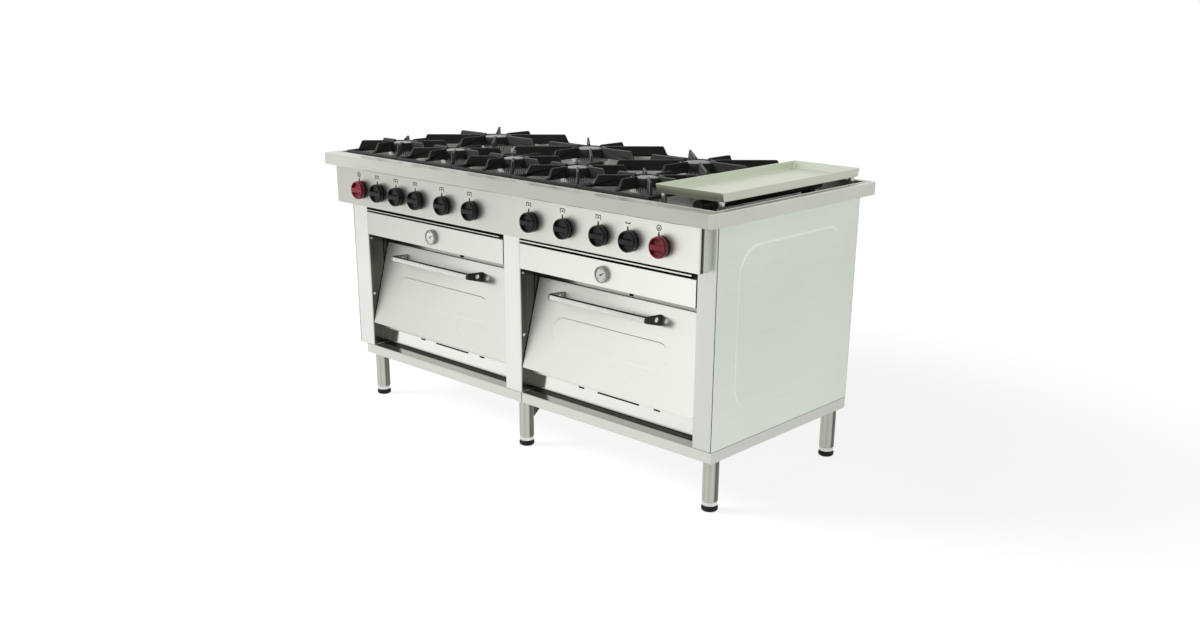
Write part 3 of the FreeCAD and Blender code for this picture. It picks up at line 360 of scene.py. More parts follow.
def brushed_steel(name, tone, low=0.3, high=0.42, along=(3, 3, 420), cloud=10, shade=EVEN, metallic=1.0, dull=()):
    """Sheet steel: streaks across the last stretched axis, slow clouds, painted shade and light drifting in tone from
    left to right, and on some a drift in gloss.
    """
    steel = Finish(name, metallic)
    streak = steel.noise(1.0, along, detail=4.0, rough=0.65)
    clouds = steel.noise(2.6, detail=2.0)
    ground = steel.ramp(clouds, (0.3, paint(tone, -cloud)), (0.7, paint(tone)))
    lined = steel.ramp(streak, (0.32, paint(tone, -0.8 * cloud)), (0.62, paint(tone, 3)))
    painted_shade_drift = steel.ramp(steel.across(), *shade)
    gloss = steel.ramp(streak, (0.3, low), (0.7, high))
    if dull:
        gloss = steel.mix(1.0, gloss, steel.ramp(steel.across(), *dull), "ADD")
    steel.show(steel.mix(1.0, steel.mix(0.45, ground, lined), painted_shade_drift, "MULTIPLY"), gloss, streak, 0.06, 0.0006)


def polished_steel(name, tone, low=0.1, high=0.2):
    """Bright drawn steel: faint lengthwise lines and small smears in the gloss."""
    steel = Finish(name, 1.0)
    smear = steel.noise(38.0, detail=4.0)
    line = steel.noise(1.0, (500, 500, 6), detail=2.0)
    colour = steel.ramp(smear, (0.3, paint(tone, -12)), (0.7, paint(tone)))
    steel.show(colour, steel.ramp(line, (0.3, low), (0.7, high)))


def cast_iron(name, dark, light):
    """Sand-cast iron: a grainy, pitted skin, paler along its edges."""
    iron = Finish(name, specular=0.12)
    grain = iron.noise(420.0, detail=5.0, rough=0.6)
    patch = iron.noise(22.0)
    ground = iron.ramp(patch, (0.3, paint(dark)), (0.75, paint(dark, 14)))
    speck = iron.ramp(grain, (0.42, paint(dark)), (0.74, paint(dark, 30)))
    pale_edges = iron.math("MULTIPLY", iron.painted_light_and_edge_marks(), iron.ramp(grain, (0.3, 0.35), (0.6, 1.0)))
    colour = iron.mix(pale_edges, iron.mix(0.5, ground, speck), paint(light))
    iron.show(colour, iron.ramp(grain, (0.3, 0.5), (0.7, 0.68)), grain, 0.35)


def banded_metal(name, dark, light, low, high, metallic=1.0):
    """Bright metal whose tone follows the banding stored with its points, painted reflection on the legs and painted
    shade between the burner ports, with small smears in the gloss.
    """
    metal = Finish(name, metallic)
    smear = metal.noise(60.0, (1, 1, 0.3), detail=4.0)
    band = metal.mix(0.18, metal.ramp(metal.painted_light_and_edge_marks(), (0.0, 0.0), (1.0, 1.0)), smear)
    metal.show(metal.ramp(band, (0.06, paint(dark)), (0.9, paint(light))), metal.ramp(smear, (0.3, low), (0.7, high)))


def moulded_plastic(name, tone, low=0.24, high=0.36, painted_light_and_edge_marks=(90, 90, 92)):
    """Moulded plastic: a faint orange-peel skin and slightly paler edges."""
    plastic = Finish(name, specular=0.28)
    peel = plastic.noise(520.0, detail=2.0)
    patch = plastic.noise(60.0, detail=2.0)
    ground = plastic.ramp(patch, (0.3, paint(tone)), (0.75, paint(tone, 9)))
    pale_edges = plastic.math("MULTIPLY", plastic.painted_light_and_edge_marks(), 0.22)
    gloss = plastic.ramp(patch, (0.3, low), (0.7, high))
    plastic.show(plastic.mix(pale_edges, ground, paint(painted_light_and_edge_marks)), gloss, peel, 0.05, 0.0004)


def plain_coat(name, tone, shift, low, high, metallic=0.0, scale=40.0, bump=0.0):
    """A coat that drifts in tone and gloss from place to place."""
    coat = Finish(name, metallic)
    patch = coat.noise(scale, detail=4.0)
    colour = coat.ramp(patch, (0.3, paint(tone)), (0.72, paint(tone, shift)))
    coat.show(colour, coat.ramp(patch, (0.3, low), (0.7, high)), patch if bump else None, bump)


# The drifts in tone below are painted shade and light: the valances, doors and control panel darker to the left, the
# apron front darker from the middle to the right with its right side face lighter, the posts and the ledge darker to
# the right.
brushed_steel("front_steel", (252, 254, 245), cloud=5, shade=((0.05, 0.68), (0.95, 1)))
brushed_steel("door_steel", (252, 253, 245), 0.2, 0.28, cloud=5, shade=((0.05, 0.8), (0.95, 1)),
              dull=((0.08, 0.3), (0.24, 0.22), (0.36, 0), (0.48, 0), (0.53, 0.3), (0.68, 0.22), (0.8, 0)))
brushed_steel("panel_steel", (248, 250, 241), 0.36, 0.48, shade=((0.05, 0.71), (0.5, 0.765), (0.95, 1)))
brushed_steel("apron_steel", (228, 231, 220), along=(3, 200, 420),
              shade=((0.05, 1), (0.5, 0.76), (0.993, 0.73), (0.999, 1)))
brushed_steel("post_steel", (244, 246, 239), along=(260, 260, 3), shade=((0.05, 0.93), (0.5, 0.97), (0.95, 0.8)))
brushed_steel("lower_steel", (236, 238, 231), 0.07, 0.13, cloud=6)
brushed_steel("side_steel", (238, 246, 234), cloud=7)
brushed_steel("back_steel", (214, 219, 210), cloud=9)
brushed_steel("base_steel", (222, 225, 217))
brushed_steel("ledge_steel", (206, 208, 200), 0.1, 0.16, along=(3, 300, 300), cloud=26,
              shade=((0.05, 1), (0.95, 0.66)))
brushed_steel("flange_steel", (200, 202, 194), 0.14, 0.24, cloud=20)
brushed_steel("oven_steel", (84, 83, 79), 0.3, 0.5, cloud=18)
brushed_steel("jamb_painted_shade_steel", (104, 103, 98), 0.16, 0.3, along=(90, 90, 2), cloud=56)
brushed_steel("deck_steel", (216, 218, 210), 0.25, 0.45, along=(4, 260, 260), cloud=22, metallic=0.5)
brushed_steel("griddle_steel", (224, 230, 214), along=(260, 3, 260), cloud=12)
polished_steel("bar_steel", (226, 227, 222))
polished_steel("screw_steel", (228, 228, 224))
polished_steel("chrome_wire", (214, 214, 210), 0.12, 0.22)
banded_metal("leg_steel", (80, 82, 76), (196, 198, 188), 0.16, 0.28)
banded_metal("port_alloy", (140, 141, 137), (254, 255, 252), 0.3, 0.45, metallic=0)
cast_iron("grate_iron", (58, 60, 58), (158, 161, 157))
cast_iron("cap_iron", (186, 189, 184), (222, 225, 220))
moulded_plastic("black_plastic", (24, 24, 25))
moulded_plastic("bezel_plastic", (26, 26, 27), 0.34, 0.48)
moulded_plastic("red_plastic", (138, 46, 57), painted_light_and_edge_marks=(186, 104, 112))
moulded_plastic("bracket_plastic", (44, 45, 45), 0.34, 0.5)
moulded_plastic("foot_plastic", (26, 26, 26), 0.45, 0.6)
plain_coat("head_alloy", (150, 152, 146), 22, 0.4, 0.6, metallic=0.8, scale=90, bump=0.15)
plain_coat("tube_iron", (24, 24, 24), 14, 0.4, 0.6, scale=90, bump=0.2)
plain_coat("case_steel", (150, 152, 147), 22, 0.34, 0.46, metallic=0.7, scale=120)
plain_coat("dial_white", (242, 244, 237), 8, 0.25, 0.35)
plain_coat("bracket_steel", (136, 138, 133), 24, 0.2, 0.32, metallic=0.8, scale=90)
plain_coat("print_ink", (26, 26, 26), 12, 0.5, 0.65)
plain_coat("gauge_ink", (74, 75, 72), 16, 0.4, 0.55)
plain_coat("brass", (186, 150, 84), 20, 0.25, 0.42, metallic=1, scale=120)
plain_coat("pipe_paint", (92, 93, 92), 20, 0.4, 0.6, metallic=0.6)
plain_coat("shadow_gap", (14, 14, 14), 8, 0.6, 0.8)


# Pieces
def build(name, shapes, finish, body="range_body", stands_for=(), sharp=38):
    """Join shapes into one mesh piece that rides on a body."""
    starts = np.cumsum([0] + [len(shape[0]) for shape in shapes[:-1]])
    points = np.concatenate([shape[0] for shape in shapes]) / MM
    faces = []
    for start, shape in zip(starts, shapes):
        faces += (shape[1] + start).tolist()
        faces += [(end + start).tolist() for end in shape[2]]
    mesh = bpy.data.meshes.new(name)
    mesh.from_pydata(points.tolist(), [], faces)
    mesh.shade_smooth()
    mesh.set_sharp_from_angle(angle=radians(sharp))
    mesh.attributes.new("edge_marks_and_painted_light", "FLOAT", "POINT").data.foreach_set(
        "value", np.concatenate([shape[3] for shape in shapes]).astype(np.float32))
    mesh.materials.append(finishes[finish])
    piece = bpy.data.objects.new(name, mesh)
    bpy.context.collection.objects.link(piece)
    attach(piece, body)
    if stands_for:
        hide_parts(*stands_for)


# Nodes that keep their own shape and only get a finish
# The tray runners take the dark oven steel as painted shade under the tray lips
CARRIED = {"hob_deck": "deck_steel", "back_panel": "back_steel", "bottom_panel": "ledge_steel", "gas_valves": "brass",
           "gas_manifold": "pipe_paint", "left_door_core": "flange_steel", "right_door_core": "flange_steel",
           "left_oven_box": "oven_steel", "right_oven_box": "oven_steel", "hinge_plates": "oven_steel",
           "tray_runners": "oven_steel", "oven_racks": "chrome_wire", "oven_burners": "tube_iron",
           "griddle_burner": "tube_iron"}
for node, finish in CARRIED.items():
    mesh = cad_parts[node].data
    mesh.materials.clear()
    mesh.materials.append(finishes[finish])

# Worktop: a folded apron, a flat rim and a raised bead round the hob opening
SHEET = 1.5
slab_x, slab_y, (under, top) = spans("top_frame")
deck_low, deck_high = corners("hob_deck")
hob = list(zip(deck_low + SHEET, deck_high - SHEET))[:2]
rim_profile = [*steps_from((0, under, 0), (0.3, 0, 0.7), (0.05, 0, 0.9), (0, 2, 1), (0, 3, 1)),
               *steps_from((0, top, 0), (0, -2.2, 1), (0, -1.4, 1), (0.01, -0.6, 1), (0.025, -0.2, 0.98),
                           (0.05, 0, 0.95), (0.08, 0, 0.92), (0.77, 0, 0.62), (0.8, 0, 0.6), (0.85, 1.2, 0.6),
                           (0.9, 1.8, 0.6), (0.95, 1.5, 0.6), (1, 0.2, 0.6)), (1, under, 0.6)]
build("worktop", [band((slab_x, slab_y), hob, rim_profile, 8)], "apron_steel", stands_for=["top_frame"])

# Cabinet walls with a pressed field
EMBOSS = 2.5
FIELD_Y, FIELD_Z, FIELD_CORNER = (91, 588.5), (277, 738), 82


def pressed_wall(node, out):
    """Rings from the sheet's border in to the field: x steps out smoothly across the pressed line."""
    low, high = corners(node)
    face = (high if out > 0 else low)[0] - out * EMBOSS
    border = (high - low)[1:]
    centre = ((low + high) / 2)[1:]
    field_low, field_high = np.array([np.add(FIELD_Y, low[1]), FIELD_Z]).T
    rings = [ring_of(*(border - inset), 0.3, centre, level, "x", 12)
             for inset, level in ((0, face - out * SHEET), (0, face - 0.6 * out), (1.2, face), (4, face))]
    for inset in np.linspace(-2.2, 2.2, 9):
        level = face + out * EMBOSS * smooth(inset, -2, 2)
        rings.append(ring_of(*(field_high - field_low - 2 * inset), FIELD_CORNER - inset, (field_low + field_high) / 2,
                             level, "x", 12))
    return skin(rings)


for side, out in (("left", -1), ("right", 1)):
    node = side + "_side_panel"
    build(side + "_wall", [pressed_wall(node, out)], "side_steel", stands_for=[node])

# Front posts: folded channels, open behind
for name in ("left", "center", "right"):
    (x0, x1), (y0, y1), levels = spans(name + "_post")
    channel = [(x0, y1), (x0, y0), (x1, y0), (x1, y1), (x1 - SHEET, y1), (x1 - SHEET, y0 + SHEET),
               (x0 + SHEET, y0 + SHEET), (x0 + SHEET, y1)]
    outline = rounded_polygon(channel, [0.4, 3, 3, 0.4, 0.4, 1.5, 1.5, 0.4])
    build(name + "_front_post", [skin([lay(outline, level, "z") for level in levels])], "post_steel",
          stands_for=[name + "_post"])

# Strip that closes the gap between the left post and the left side
wall_edge = corners("left_side_panel")[0][0] + EMBOSS
low, high = corners("left_post")
strip = block((wall_edge + 0.2, low[0] + 3.2), (low[1] + 0.4, low[1] + 1.6), (low[2] + 1, high[2] - 1), "y", 0.4, 0.2)
build("left_corner_strip", [strip], "flange_steel")

# Jambs inside the oven openings, between the ledge and the valance, dark as painted shade and streaked upright as
# painted reflection
lower_low, lower_high = corners("lower_panels")
valance_low, valance_high = corners("valances")
jambs = []
for post, edge, facing in (("left", 1, 1), ("center", 0, -1), ("center", 1, 1), ("right", 0, -1)):
    x, y, z = spans(post + "_post")
    face = sorted((x[edge], x[edge] + 0.5 * facing))
    jambs.append(block(face, (y[0] + 5, y[1] - 0.5), (lower_low[2] + 1, valance_low[2]), "x", 1, 0.1))
build("oven_jambs", jambs, "jamb_painted_shade_steel")

# Base: tubes with rolled corners, a seam by the centre post with a black strip in it as painted shadow, and a gusset in
# dark steel as painted shade
RAIL, RAIL_TALL, SEAM_HALF = 44, 33, 1.4
(x0, x1), (y0, y1), (base_foot, base_top) = spans("base_frame")
base_middle = (x0 + x1) / 2
seam = corners("center_post")[1][0]
rail_z = (base_top - RAIL_TALL, base_top)
front_y = (y0, y0 + RAIL)
rear_y = (y1 - RAIL, y1)
inside_y = (front_y[1], rear_y[0])
rails = [((x0, seam - SEAM_HALF), front_y, "x"), ((seam + SEAM_HALF, x1), front_y, "x"), ((x0, x1), rear_y, "x"),
         ((x0, x0 + RAIL), inside_y, "y"), ((base_middle - RAIL / 2, base_middle + RAIL / 2), inside_y, "y"),
         ((x1 - RAIL, x1), inside_y, "y")]
build("base_rails", [block(x, y, rail_z, axis, 3, 0.6) for x, y, axis in rails], "base_steel",
      stands_for=["base_frame"])
gusset_y = front_y[1] + 23
gusset = [(gusset_y, rail_z[0]), (gusset_y, base_foot), (gusset_y + 2, base_foot), (gusset_y + 90, rail_z[0] - 2),
          (gusset_y + 90, rail_z[0])]
build("base_gusset", [plate(rounded_polygon(gusset, 0.5), (base_middle - 1, base_middle + 1), "x", 0.4)], "oven_steel")
seam_shadow = block((seam - 4, seam + 4), (front_y[0] + 3, front_y[1] - 3), (rail_z[0] + 1, rail_z[1] - 1), "x", 2, 0.3)
build("base_seam_shadow", [seam_shadow], "shadow_gap")

# Legs and feet: a tube with a groove near its end, a pad and a bright collar
LEG_RADIUS = 23
leg_low, leg_high = corners("legs")
leg_places = [(x, y) for x in (leg_low[0] + LEG_RADIUS, base_middle, leg_high[0] - LEG_RADIUS)
              for y in (leg_low[1] + LEG_RADIUS, leg_high[1] - LEG_RADIUS)]
leg_profile = [(19.5, 0.2), (22, 0), (22.8, 0.8), (LEG_RADIUS, 2), (LEG_RADIUS, 9), (22.6, 9.6), (22.6, 10.4),
               (LEG_RADIUS, 11), (LEG_RADIUS, leg_high[2] - leg_low[2])]
foot_profile = [(8, 0), (17, 0), (20.5, 0.8), (23, 3), (24, 6.5), (24, 11), (23.2, 14),
                (21.5, 16.2), (19, 17.2), (17, 17.4)]
collar_profile = [(17, 17), (21, 17.2), (22, 18.2), (22, 29), (21, 30)]
leg_turn = np.linspace(0, 2 * np.pi, 64, endpoint=False)
# Painted reflection on the polished legs: a dark band down one side of each and faint stripes round it
leg_facing = np.degrees((leg_turn + np.pi) % (2 * np.pi) - np.pi)
leg_reflection_bands = 0.9 - 0.8 * smooth(leg_facing, -24, -16) * smooth(-leg_facing, -62, -40) + 0.1 * np.cos(9 * leg_turn)
leg_painted_reflection = np.tile(leg_reflection_bands, (len(leg_profile), 1))
build("leg_tubes", [turned(leg_profile, (x, y, leg_low[2]), "z", 64, edge_marks_and_painted_light=leg_painted_reflection) for x, y in leg_places],
      "leg_steel", stands_for=["legs"])
build("levelling_pads", [turned(foot_profile, (x, y, 0), "z", 40) for x, y in leg_places], "foot_plastic",
      stands_for=["leveling_feet"])
build("foot_collars", [turned(collar_profile, (x, y, 0), "z", 40) for x, y in leg_places], "screw_steel")

# Control panel with a ribbed end at the right; each groove is where it starts, where it ends and how deep it is
GROOVES = ((6, 18, 5), (25, 33.5, 1.5))
(x0, x1), (panel_face, panel_back), (panel_foot, panel_top) = spans("control_panel")
plan = [(x0, panel_back), (x0, panel_face), (x1, panel_face)]
liners = []
for near, far, depth in GROOVES:
    near, far, floor = panel_face + near, panel_face + far, x1 - depth
    plan += [(x1, near), (floor, near), (floor, far), (x1, far)]
    liners.append(block((floor, floor + 0.6), (near + 0.2, far - 0.2), (panel_foot + 4, panel_top - 1), "x", 0.4, 0.1))
plan.append((x1, panel_back))
fold = [0.5, 3, 3] + [0.6] * (4 * len(GROOVES)) + [0.5]
build("control_front", [plate(rounded_polygon(plan, fold), (panel_foot + 2.7, panel_top), "z", 0.9)], "panel_steel",
      stands_for=["control_panel"])
# The deep groove's floor is dark steel as painted shade
build("panel_end_groove", liners[:1], "oven_steel")
build("panel_end_field", liners[1:], "side_steel")

# Knobs: a waisted cap with a grip bar between two half-moon hollows, over a black skirt disc
knobs = ["left_oven_knob"] + [f"burner_knob_{number}" for number in range(1, 9)] + ["griddle_knob", "right_oven_knob"]
HOLLOW = 8


def knob_shape(node):
    """The cap's face is a polar grid whose depth is hollow * step(|z| past the grip) * step(r inside the rim)."""
    (x0, x1), (front, back), z = spans(node)
    radius = (x1 - x0) / 2
    a = np.linspace(0, 2 * np.pi, 72, endpoint=False)
    side = [*steps_from((0, back), (19, 0), (22, -0.6), (22, -5), (22.6, -6.2), (25, -6.9)),
            *steps_from((radius, back), (-1.4, -7), (-0.4, -7.5), (0, -8.6)),
            *steps_from((radius, front), (-0.4, 5), (-1, 2.6), (-1.7, 1), (-2.8, 0.3), (-4.2, 0))]
    painted_light_and_edge_marks = [0] * 9 + [0.2, 0.6, 1, 0.5]
    rings = [lay(circle(r, a), y, "y") for r, y in side]
    for r in np.linspace(radius - 5, 0.4, 26):
        flat = circle(r, a)
        past = np.maximum(smooth(flat[:, 1], 4.5, 8.5), smooth(-flat[:, 1], 7, 11))
        rings.append(lay(flat, front + HOLLOW * past * smooth(radius - 5 - r, 0, 2.5), "y"))
        painted_light_and_edge_marks.append(0)
    return moved(skin(rings, painted_light_and_edge_marks), ((x0 + x1) / 2, 0, sum(z) / 2))


for node in knobs:
    colour = "red_plastic" if node.endswith("oven_knob") else "black_plastic"
    build(node + "_cap", [knob_shape(node)], colour, body=node + "_body", stands_for=[node])

bezel_front, bezel_back = spans("knob_bezels")[1]
lip = bezel_front - 2.5
skirt = [(5, bezel_back), (29, bezel_back), (29, lip + 1.6), (28.3, lip + 0.5), (26.8, lip), (22.8, lip),
         (22.8, bezel_front), (5, bezel_front)]
build("knob_skirts", [turned(skirt, middle(node) * (1, 0, 1), "y", 56, looped=True) for node in knobs], "bezel_plastic",
      stands_for=["knob_bezels"])

# Printed marks above each knob: a tick and a small sign
MARK_SHIFT, SIGN_RISE = 14, 48
ink = (panel_face - 0.25, panel_face + 0.2)


def flat_bars(at, *bars):
    """Bars of ink, each from x to x and z to z about a place."""
    return [block((at[0] + x0, at[0] + x1), ink, (at[2] + z0, at[2] + z1), "y", 0.3, 0.1) for x0, x1, z0, z1 in bars]


marks = []
for node in knobs:
    at = middle(node) * (1, 0, 1) - (MARK_SHIFT, 0, 0)
    tick = np.array([(-3.4, 26), (3.4, 26), (2, 37), (-2, 37)]) + at[[0, 2]]
    marks.append(plate(rounded_polygon(tick, 0.4), ink, "y", 0.1))
    sign = at + (0, 0, SIGN_RISE)
    if node.endswith("oven_knob"):
        ring = [(8.6, ink[0]), (8.6, ink[1]), (6.2, ink[1]), (6.2, ink[0])]
        marks.append(turned(ring, sign, "y", 28, looped=True))
    elif node == "griddle_knob":
        marks += flat_bars(sign, (-9, 9, -4, -1.2), (-9, -6.6, -4, 2), (6.6, 9, -4, 2))
    else:
        marks += flat_bars(sign, (-10, -7.6, -6.5, 6.5), (7.6, 10, -6.5, 6.5), (-10, 10, 4.2, 6.5))
    if node != "griddle_knob":
        dot = [(0.3, ink[0]), (3, ink[0]), (3, ink[1]), (0.3, ink[1])]
        marks.append(turned(dot, sign - (0, 0, 1), "y", 16))
build("printed_marks", marks, "print_ink")

# Oven fronts
HINGE = (-292.5, 279)
LEAN = radians(15.9)
DOOR_LOW, DOOR_HIGH = -14, 269
DOOR_FRONT, DOOR_BACK = -14, 26
SEAL = DOOR_BACK + 4
DOOR_FIELD, DOOR_FIELD_CORNER, DOOR_FIELD_SHIFT, DOOR_FIELD_LEVEL = np.array([453, 80]), 38, -16, 125
GROOVE = 1.6
BAR_Y, BAR_Z, BAR_RADIUS = -67, 220, 10
BAR_ENDS = (-220, 152)
BRACKET, NOSE = 10, 9.5
door_x = {side: spans(side + "_door_skin")[0] for side in SIDES}


def leaned(shape, hinge=HINGE, lean=LEAN):
    """Local points about the hinge line leaned back: y = y cos + z sin, z = z cos - y sin."""
    points = shape[0]
    return (lay(spun(points[:, 1:], -lean) + hinge, points[:, 0], "x"),) + shape[1:]


for side in SIDES:
    body = side + "_door"
    mid = sum(door_x[side]) / 2
    size = np.array([door_x[side][1] - door_x[side][0], DOOR_HIGH - DOOR_LOW])
    centre = (mid, (DOOR_LOW + DOOR_HIGH) / 2)
    rings = [ring_of(*(size - inset), 1.5, centre, level, "y", 10) for inset, level in
             ((3, DOOR_BACK - 0.8), (2.4, DOOR_BACK), (0, DOOR_BACK), (0, DOOR_FRONT + 0.1), (0.2, DOOR_FRONT),
              (8, DOOR_FRONT))]
    for inset in np.linspace(-GROOVE, GROOVE, 9):
        level = DOOR_FRONT - GROOVE * smooth(inset, -1.4, 1.4)
        rings.append(ring_of(*(DOOR_FIELD - 2 * inset), DOOR_FIELD_CORNER - inset,
                             (mid + DOOR_FIELD_SHIFT, DOOR_FIELD_LEVEL), level, "y", 10))
    build(side + "_door_face", [leaned(skin(rings))], "door_steel", body=body, stands_for=[side + "_door_skin"])

    # Handle: a polished bar between two plates with round noses and bright plugs in their sides
    near, far = mid + BAR_ENDS[0], mid + BAR_ENDS[1]
    ends = [(0.3, near), (BAR_RADIUS - 0.6, near), (BAR_RADIUS, near + 0.6), (BAR_RADIUS, far - 0.6),
            (BAR_RADIUS - 0.6, far), (0.3, far)]
    build(side + "_grip_bar", [leaned(turned(ends, (0, BAR_Y, BAR_Z), "x", 40))], "bar_steel", body=body,
          stands_for=[side + "_handle_bar"])
    nose = BAR_Y - NOSE
    arm = [(DOOR_FRONT, BAR_Z - NOSE), (DOOR_FRONT, BAR_Z + 22.5), (nose, BAR_Z + 8.5), (nose, BAR_Z - NOSE)]
    outline = rounded_polygon(arm, [1, 1, 8, 8], 8)
    caps = []
    for end, start, finish in (("near", near - BRACKET, "bracket_steel"), ("far", far, "bracket_plastic")):
        build(f"{side}_{end}_arm", [leaned(plate(outline, (start, start + BRACKET), "x", 1.2))], finish, body=body,
              stands_for=[side + "_handle_brackets"])
        for face, facing in ((start, -1), (start + BRACKET, 1)):
            caps.append(leaned(round_head((face, DOOR_FRONT - 22.5, BAR_Z + 6), "x", 7.5, 1.4, facing)))
    build(side + "_handle_caps", caps, "screw_steel", body=body)

    # Behind the door: a strip above it, a pale edge below it and a black block above its middle as painted shade in a
    # notch
    for name, finish, x, y, z, corner, edge in (
            ("_seal_strip", "flange_steel", door_x[side], (-0.4, 0.2), (DOOR_HIGH - 4, DOOR_HIGH + 27), 0.6, 0.1),
            ("_flange_edge", "front_steel", door_x[side], (-1, -0.2), (DOOR_LOW - 11.6, DOOR_LOW + 3), 0.3, 0.1),
            ("_notch_shadow", "shadow_gap", (mid - 3.5, mid + 3.5), (-6, 0), (DOOR_HIGH + 3, DOOR_HIGH + 24), 1, 0.4)):
        build(side + name, [leaned(block(x, np.add(y, SEAL), z, "y", corner, edge))], finish)

    # Thermometer: a chrome case, a white dial with marks and a pointer
    low, high = corners(side + "_thermometer")
    at = (low + high) / 2 * (1, 0, 1)
    face = low[1]
    foot = valance_low[1]
    radius = (high[0] - low[0]) / 2
    case = [(4, foot), *steps_from((radius, foot), (-1.5, 0), (-0.4, -0.6), (-0.4, -3), (0, -4)),
            *steps_from((radius, face), (0, 2.2), (-0.9, 0.6), (-2.2, 0), (-3.4, 0.5), (-3.8, 2.2)), (4, face + 2.3)]
    build(side + "_gauge_case", [turned(case, at, "y", 56, looped=True)], "case_steel",
          stands_for=[side + "_thermometer"])
    dial = [(0.3, face + 1.9), (radius - 3.9, face + 2.2), (radius - 3.9, face + 2.6), (0.3, face + 2.6)]
    build(side + "_gauge_dial", [turned(dial, at, "y", 56)], "dial_white")
    signs = []
    for step in range(13):
        long, half = (4.4, 0.7) if step % 3 == 0 else (2.6, 0.45)
        end = radius - 5.5
        points, *rest = block((end - long, end), (face + 1.55, face + 2.1), (-half, half), "y", 0.2, 0.05)
        points = lay(spun(points[:, [0, 2]], radians(225 - 270 * step / 12)), points[:, 1], "y")
        signs.append(moved((points, *rest), at))
    hand = rounded_polygon([(-4.5, -1.4), (13.5, -0.35), (13.5, 0.35), (-4.5, 1.4)], 0.25)
    signs.append(moved(plate(spun(hand, radians(35)), (face + 0.9, face + 1.4), "y", 0.1), at))
    hub = [(0.3, face + 0.5), (1.8, face + 0.5), (2.2, face + 0.9), (2.2, face + 2), (0.3, face + 2)]
    signs.append(turned(hub, at, "y", 20))
    build(side + "_gauge_marks", signs, "gauge_ink")

# Valances, with black strips as painted shadow at their right ends and one behind the right post's edge
shapes, shadow_seams = [], []
for side in SIDES:
    x0, x1 = door_x[side]
    shapes.append(block((x0 - 3, x1 - 1.5), (valance_low[1], valance_high[1]), (valance_low[2], valance_high[2] - 2),
                        "y", 1.2, 0.7))
    shadow_seams.append(block((x1 - 3, x1 + 3), (valance_high[1], valance_high[1] + 0.6), (valance_low[2], valance_high[2]),
                       "y", 0.6, 0.1))
build("oven_valances", shapes, "front_steel", stands_for=["valances"])
(x0, x1), (y0, y1), (z0, z1) = spans("right_post")
shadow_seams.append(block((x1 - 0.3, x1 + 0.5), (y0 + 1.5, y0 + 6), (z0 + 1, panel_foot), "x", 0.4, 0.1))
build("painted_shadow_seams", shadow_seams, "shadow_gap")

# Lower panels: sheets with their feet forward and a row of slots, a black strip behind the slots as painted shade, and
# a dark strip and a black line below as painted shadow
LOWER_TILT = radians(6.2)
LOWER_LINE = (lower_low[1] + 1.5, lower_high[2])
LOWER_TALL = (lower_high[2] - lower_low[2]) / cos(LOWER_TILT)
SLOT_LEVELS = (-28.6, -23.2)
SLOTS = ((-138, 24), (12, 165), (162, 24))
lower_foot = LOWER_LINE[0] - LOWER_TALL * sin(LOWER_TILT)
ledge = lower_low[2]
sheets, slot_shadows, foot_shade_strips, foot_shadow_lines = [], [], [], []
for side in SIDES:
    x0, x1 = door_x[side]
    mid = (x0 + x1) / 2
    span = (x0 - 3, x1 + 3)
    stops = [span[0]]
    for shift, length in SLOTS:
        stops += [mid + shift - length / 2, mid + shift + length / 2]
    stops.append(span[1])
    strips = [(span, (-LOWER_TALL, SLOT_LEVELS[0])), (span, (SLOT_LEVELS[1], 0))]
    strips += [((stops[index], stops[index + 1]), SLOT_LEVELS) for index in range(0, len(stops), 2)]
    sheets += [leaned(block(x, (0, SHEET), z, "y", 0.1, 0.05), LOWER_LINE, LOWER_TILT) for x, z in strips]
    slot_shadows.append(leaned(block((stops[1] - 4, stops[-2] + 4), (SHEET + 0.1, SHEET + 0.6),
                                   (SLOT_LEVELS[0] - 3, SLOT_LEVELS[1] + 3), "y", 0.4, 0.1), LOWER_LINE, LOWER_TILT))
    foot_x = (x0 - 2, x1 + 2)
    foot_shade_strips.append(block(foot_x, (lower_foot - 1, lower_foot), (ledge, ledge + 5), "y", 0.3, 0.1))
    foot_shadow_lines.append(block(foot_x, (lower_foot - 1.2, lower_foot + 0.8), (ledge + 4.8, ledge + 8), "y", 0.4, 0.1))
build("lower_sheets", sheets, "lower_steel", stands_for=["lower_panels"])
build("slot_shadows", slot_shadows, "shadow_gap")
build("foot_shade_strips", foot_shade_strips, "jamb_painted_shade_steel")
build("foot_shadow_lines", foot_shadow_lines, "shadow_gap")


# Drip trays
def tray_shape(x, y, z, wall, floor, flare=(0, 0), corner=2):
    """A pan: rounded rectangles up the outside, over a rolled rim and down the inside to the floor."""
    size = np.array([x[1] - x[0], y[1] - y[0]])
    stations = [*steps_from((0, 0, z[0]), (1, 1.8, 0), (1, 0.8, 0), (1, 0, 0.8), (0.94, 0, 1.8)),
                *steps_from((0, 0, z[1]), (0.06, 0, -1.9), (0, 0, -0.9), (0, 0.25 * wall, -0.15), (0, 0.5 * wall, 0),
                            (0, 0.75 * wall, -0.15), (0, wall, -0.9), (0.06, wall, -1.9)),
                *steps_from((0, wall, z[0] + floor), (0.94, 0, 2), (1, 0, 1), (1, 1, 0), (1, 2, 0))]
    centre = (sum(x) / 2, sum(y) / 2)
    rings = []
    for share, inset, level in stations:
        drawn = share * np.array(flare) + inset
        rings.append(ring_of(*(size - 2 * drawn), max(corner - 0.3 * drawn[0], 0.4), centre, level, "z"))
    return skin(rings, [0] * 5 + [0.4, 1, 1, 1, 0.4] + [0] * 5)


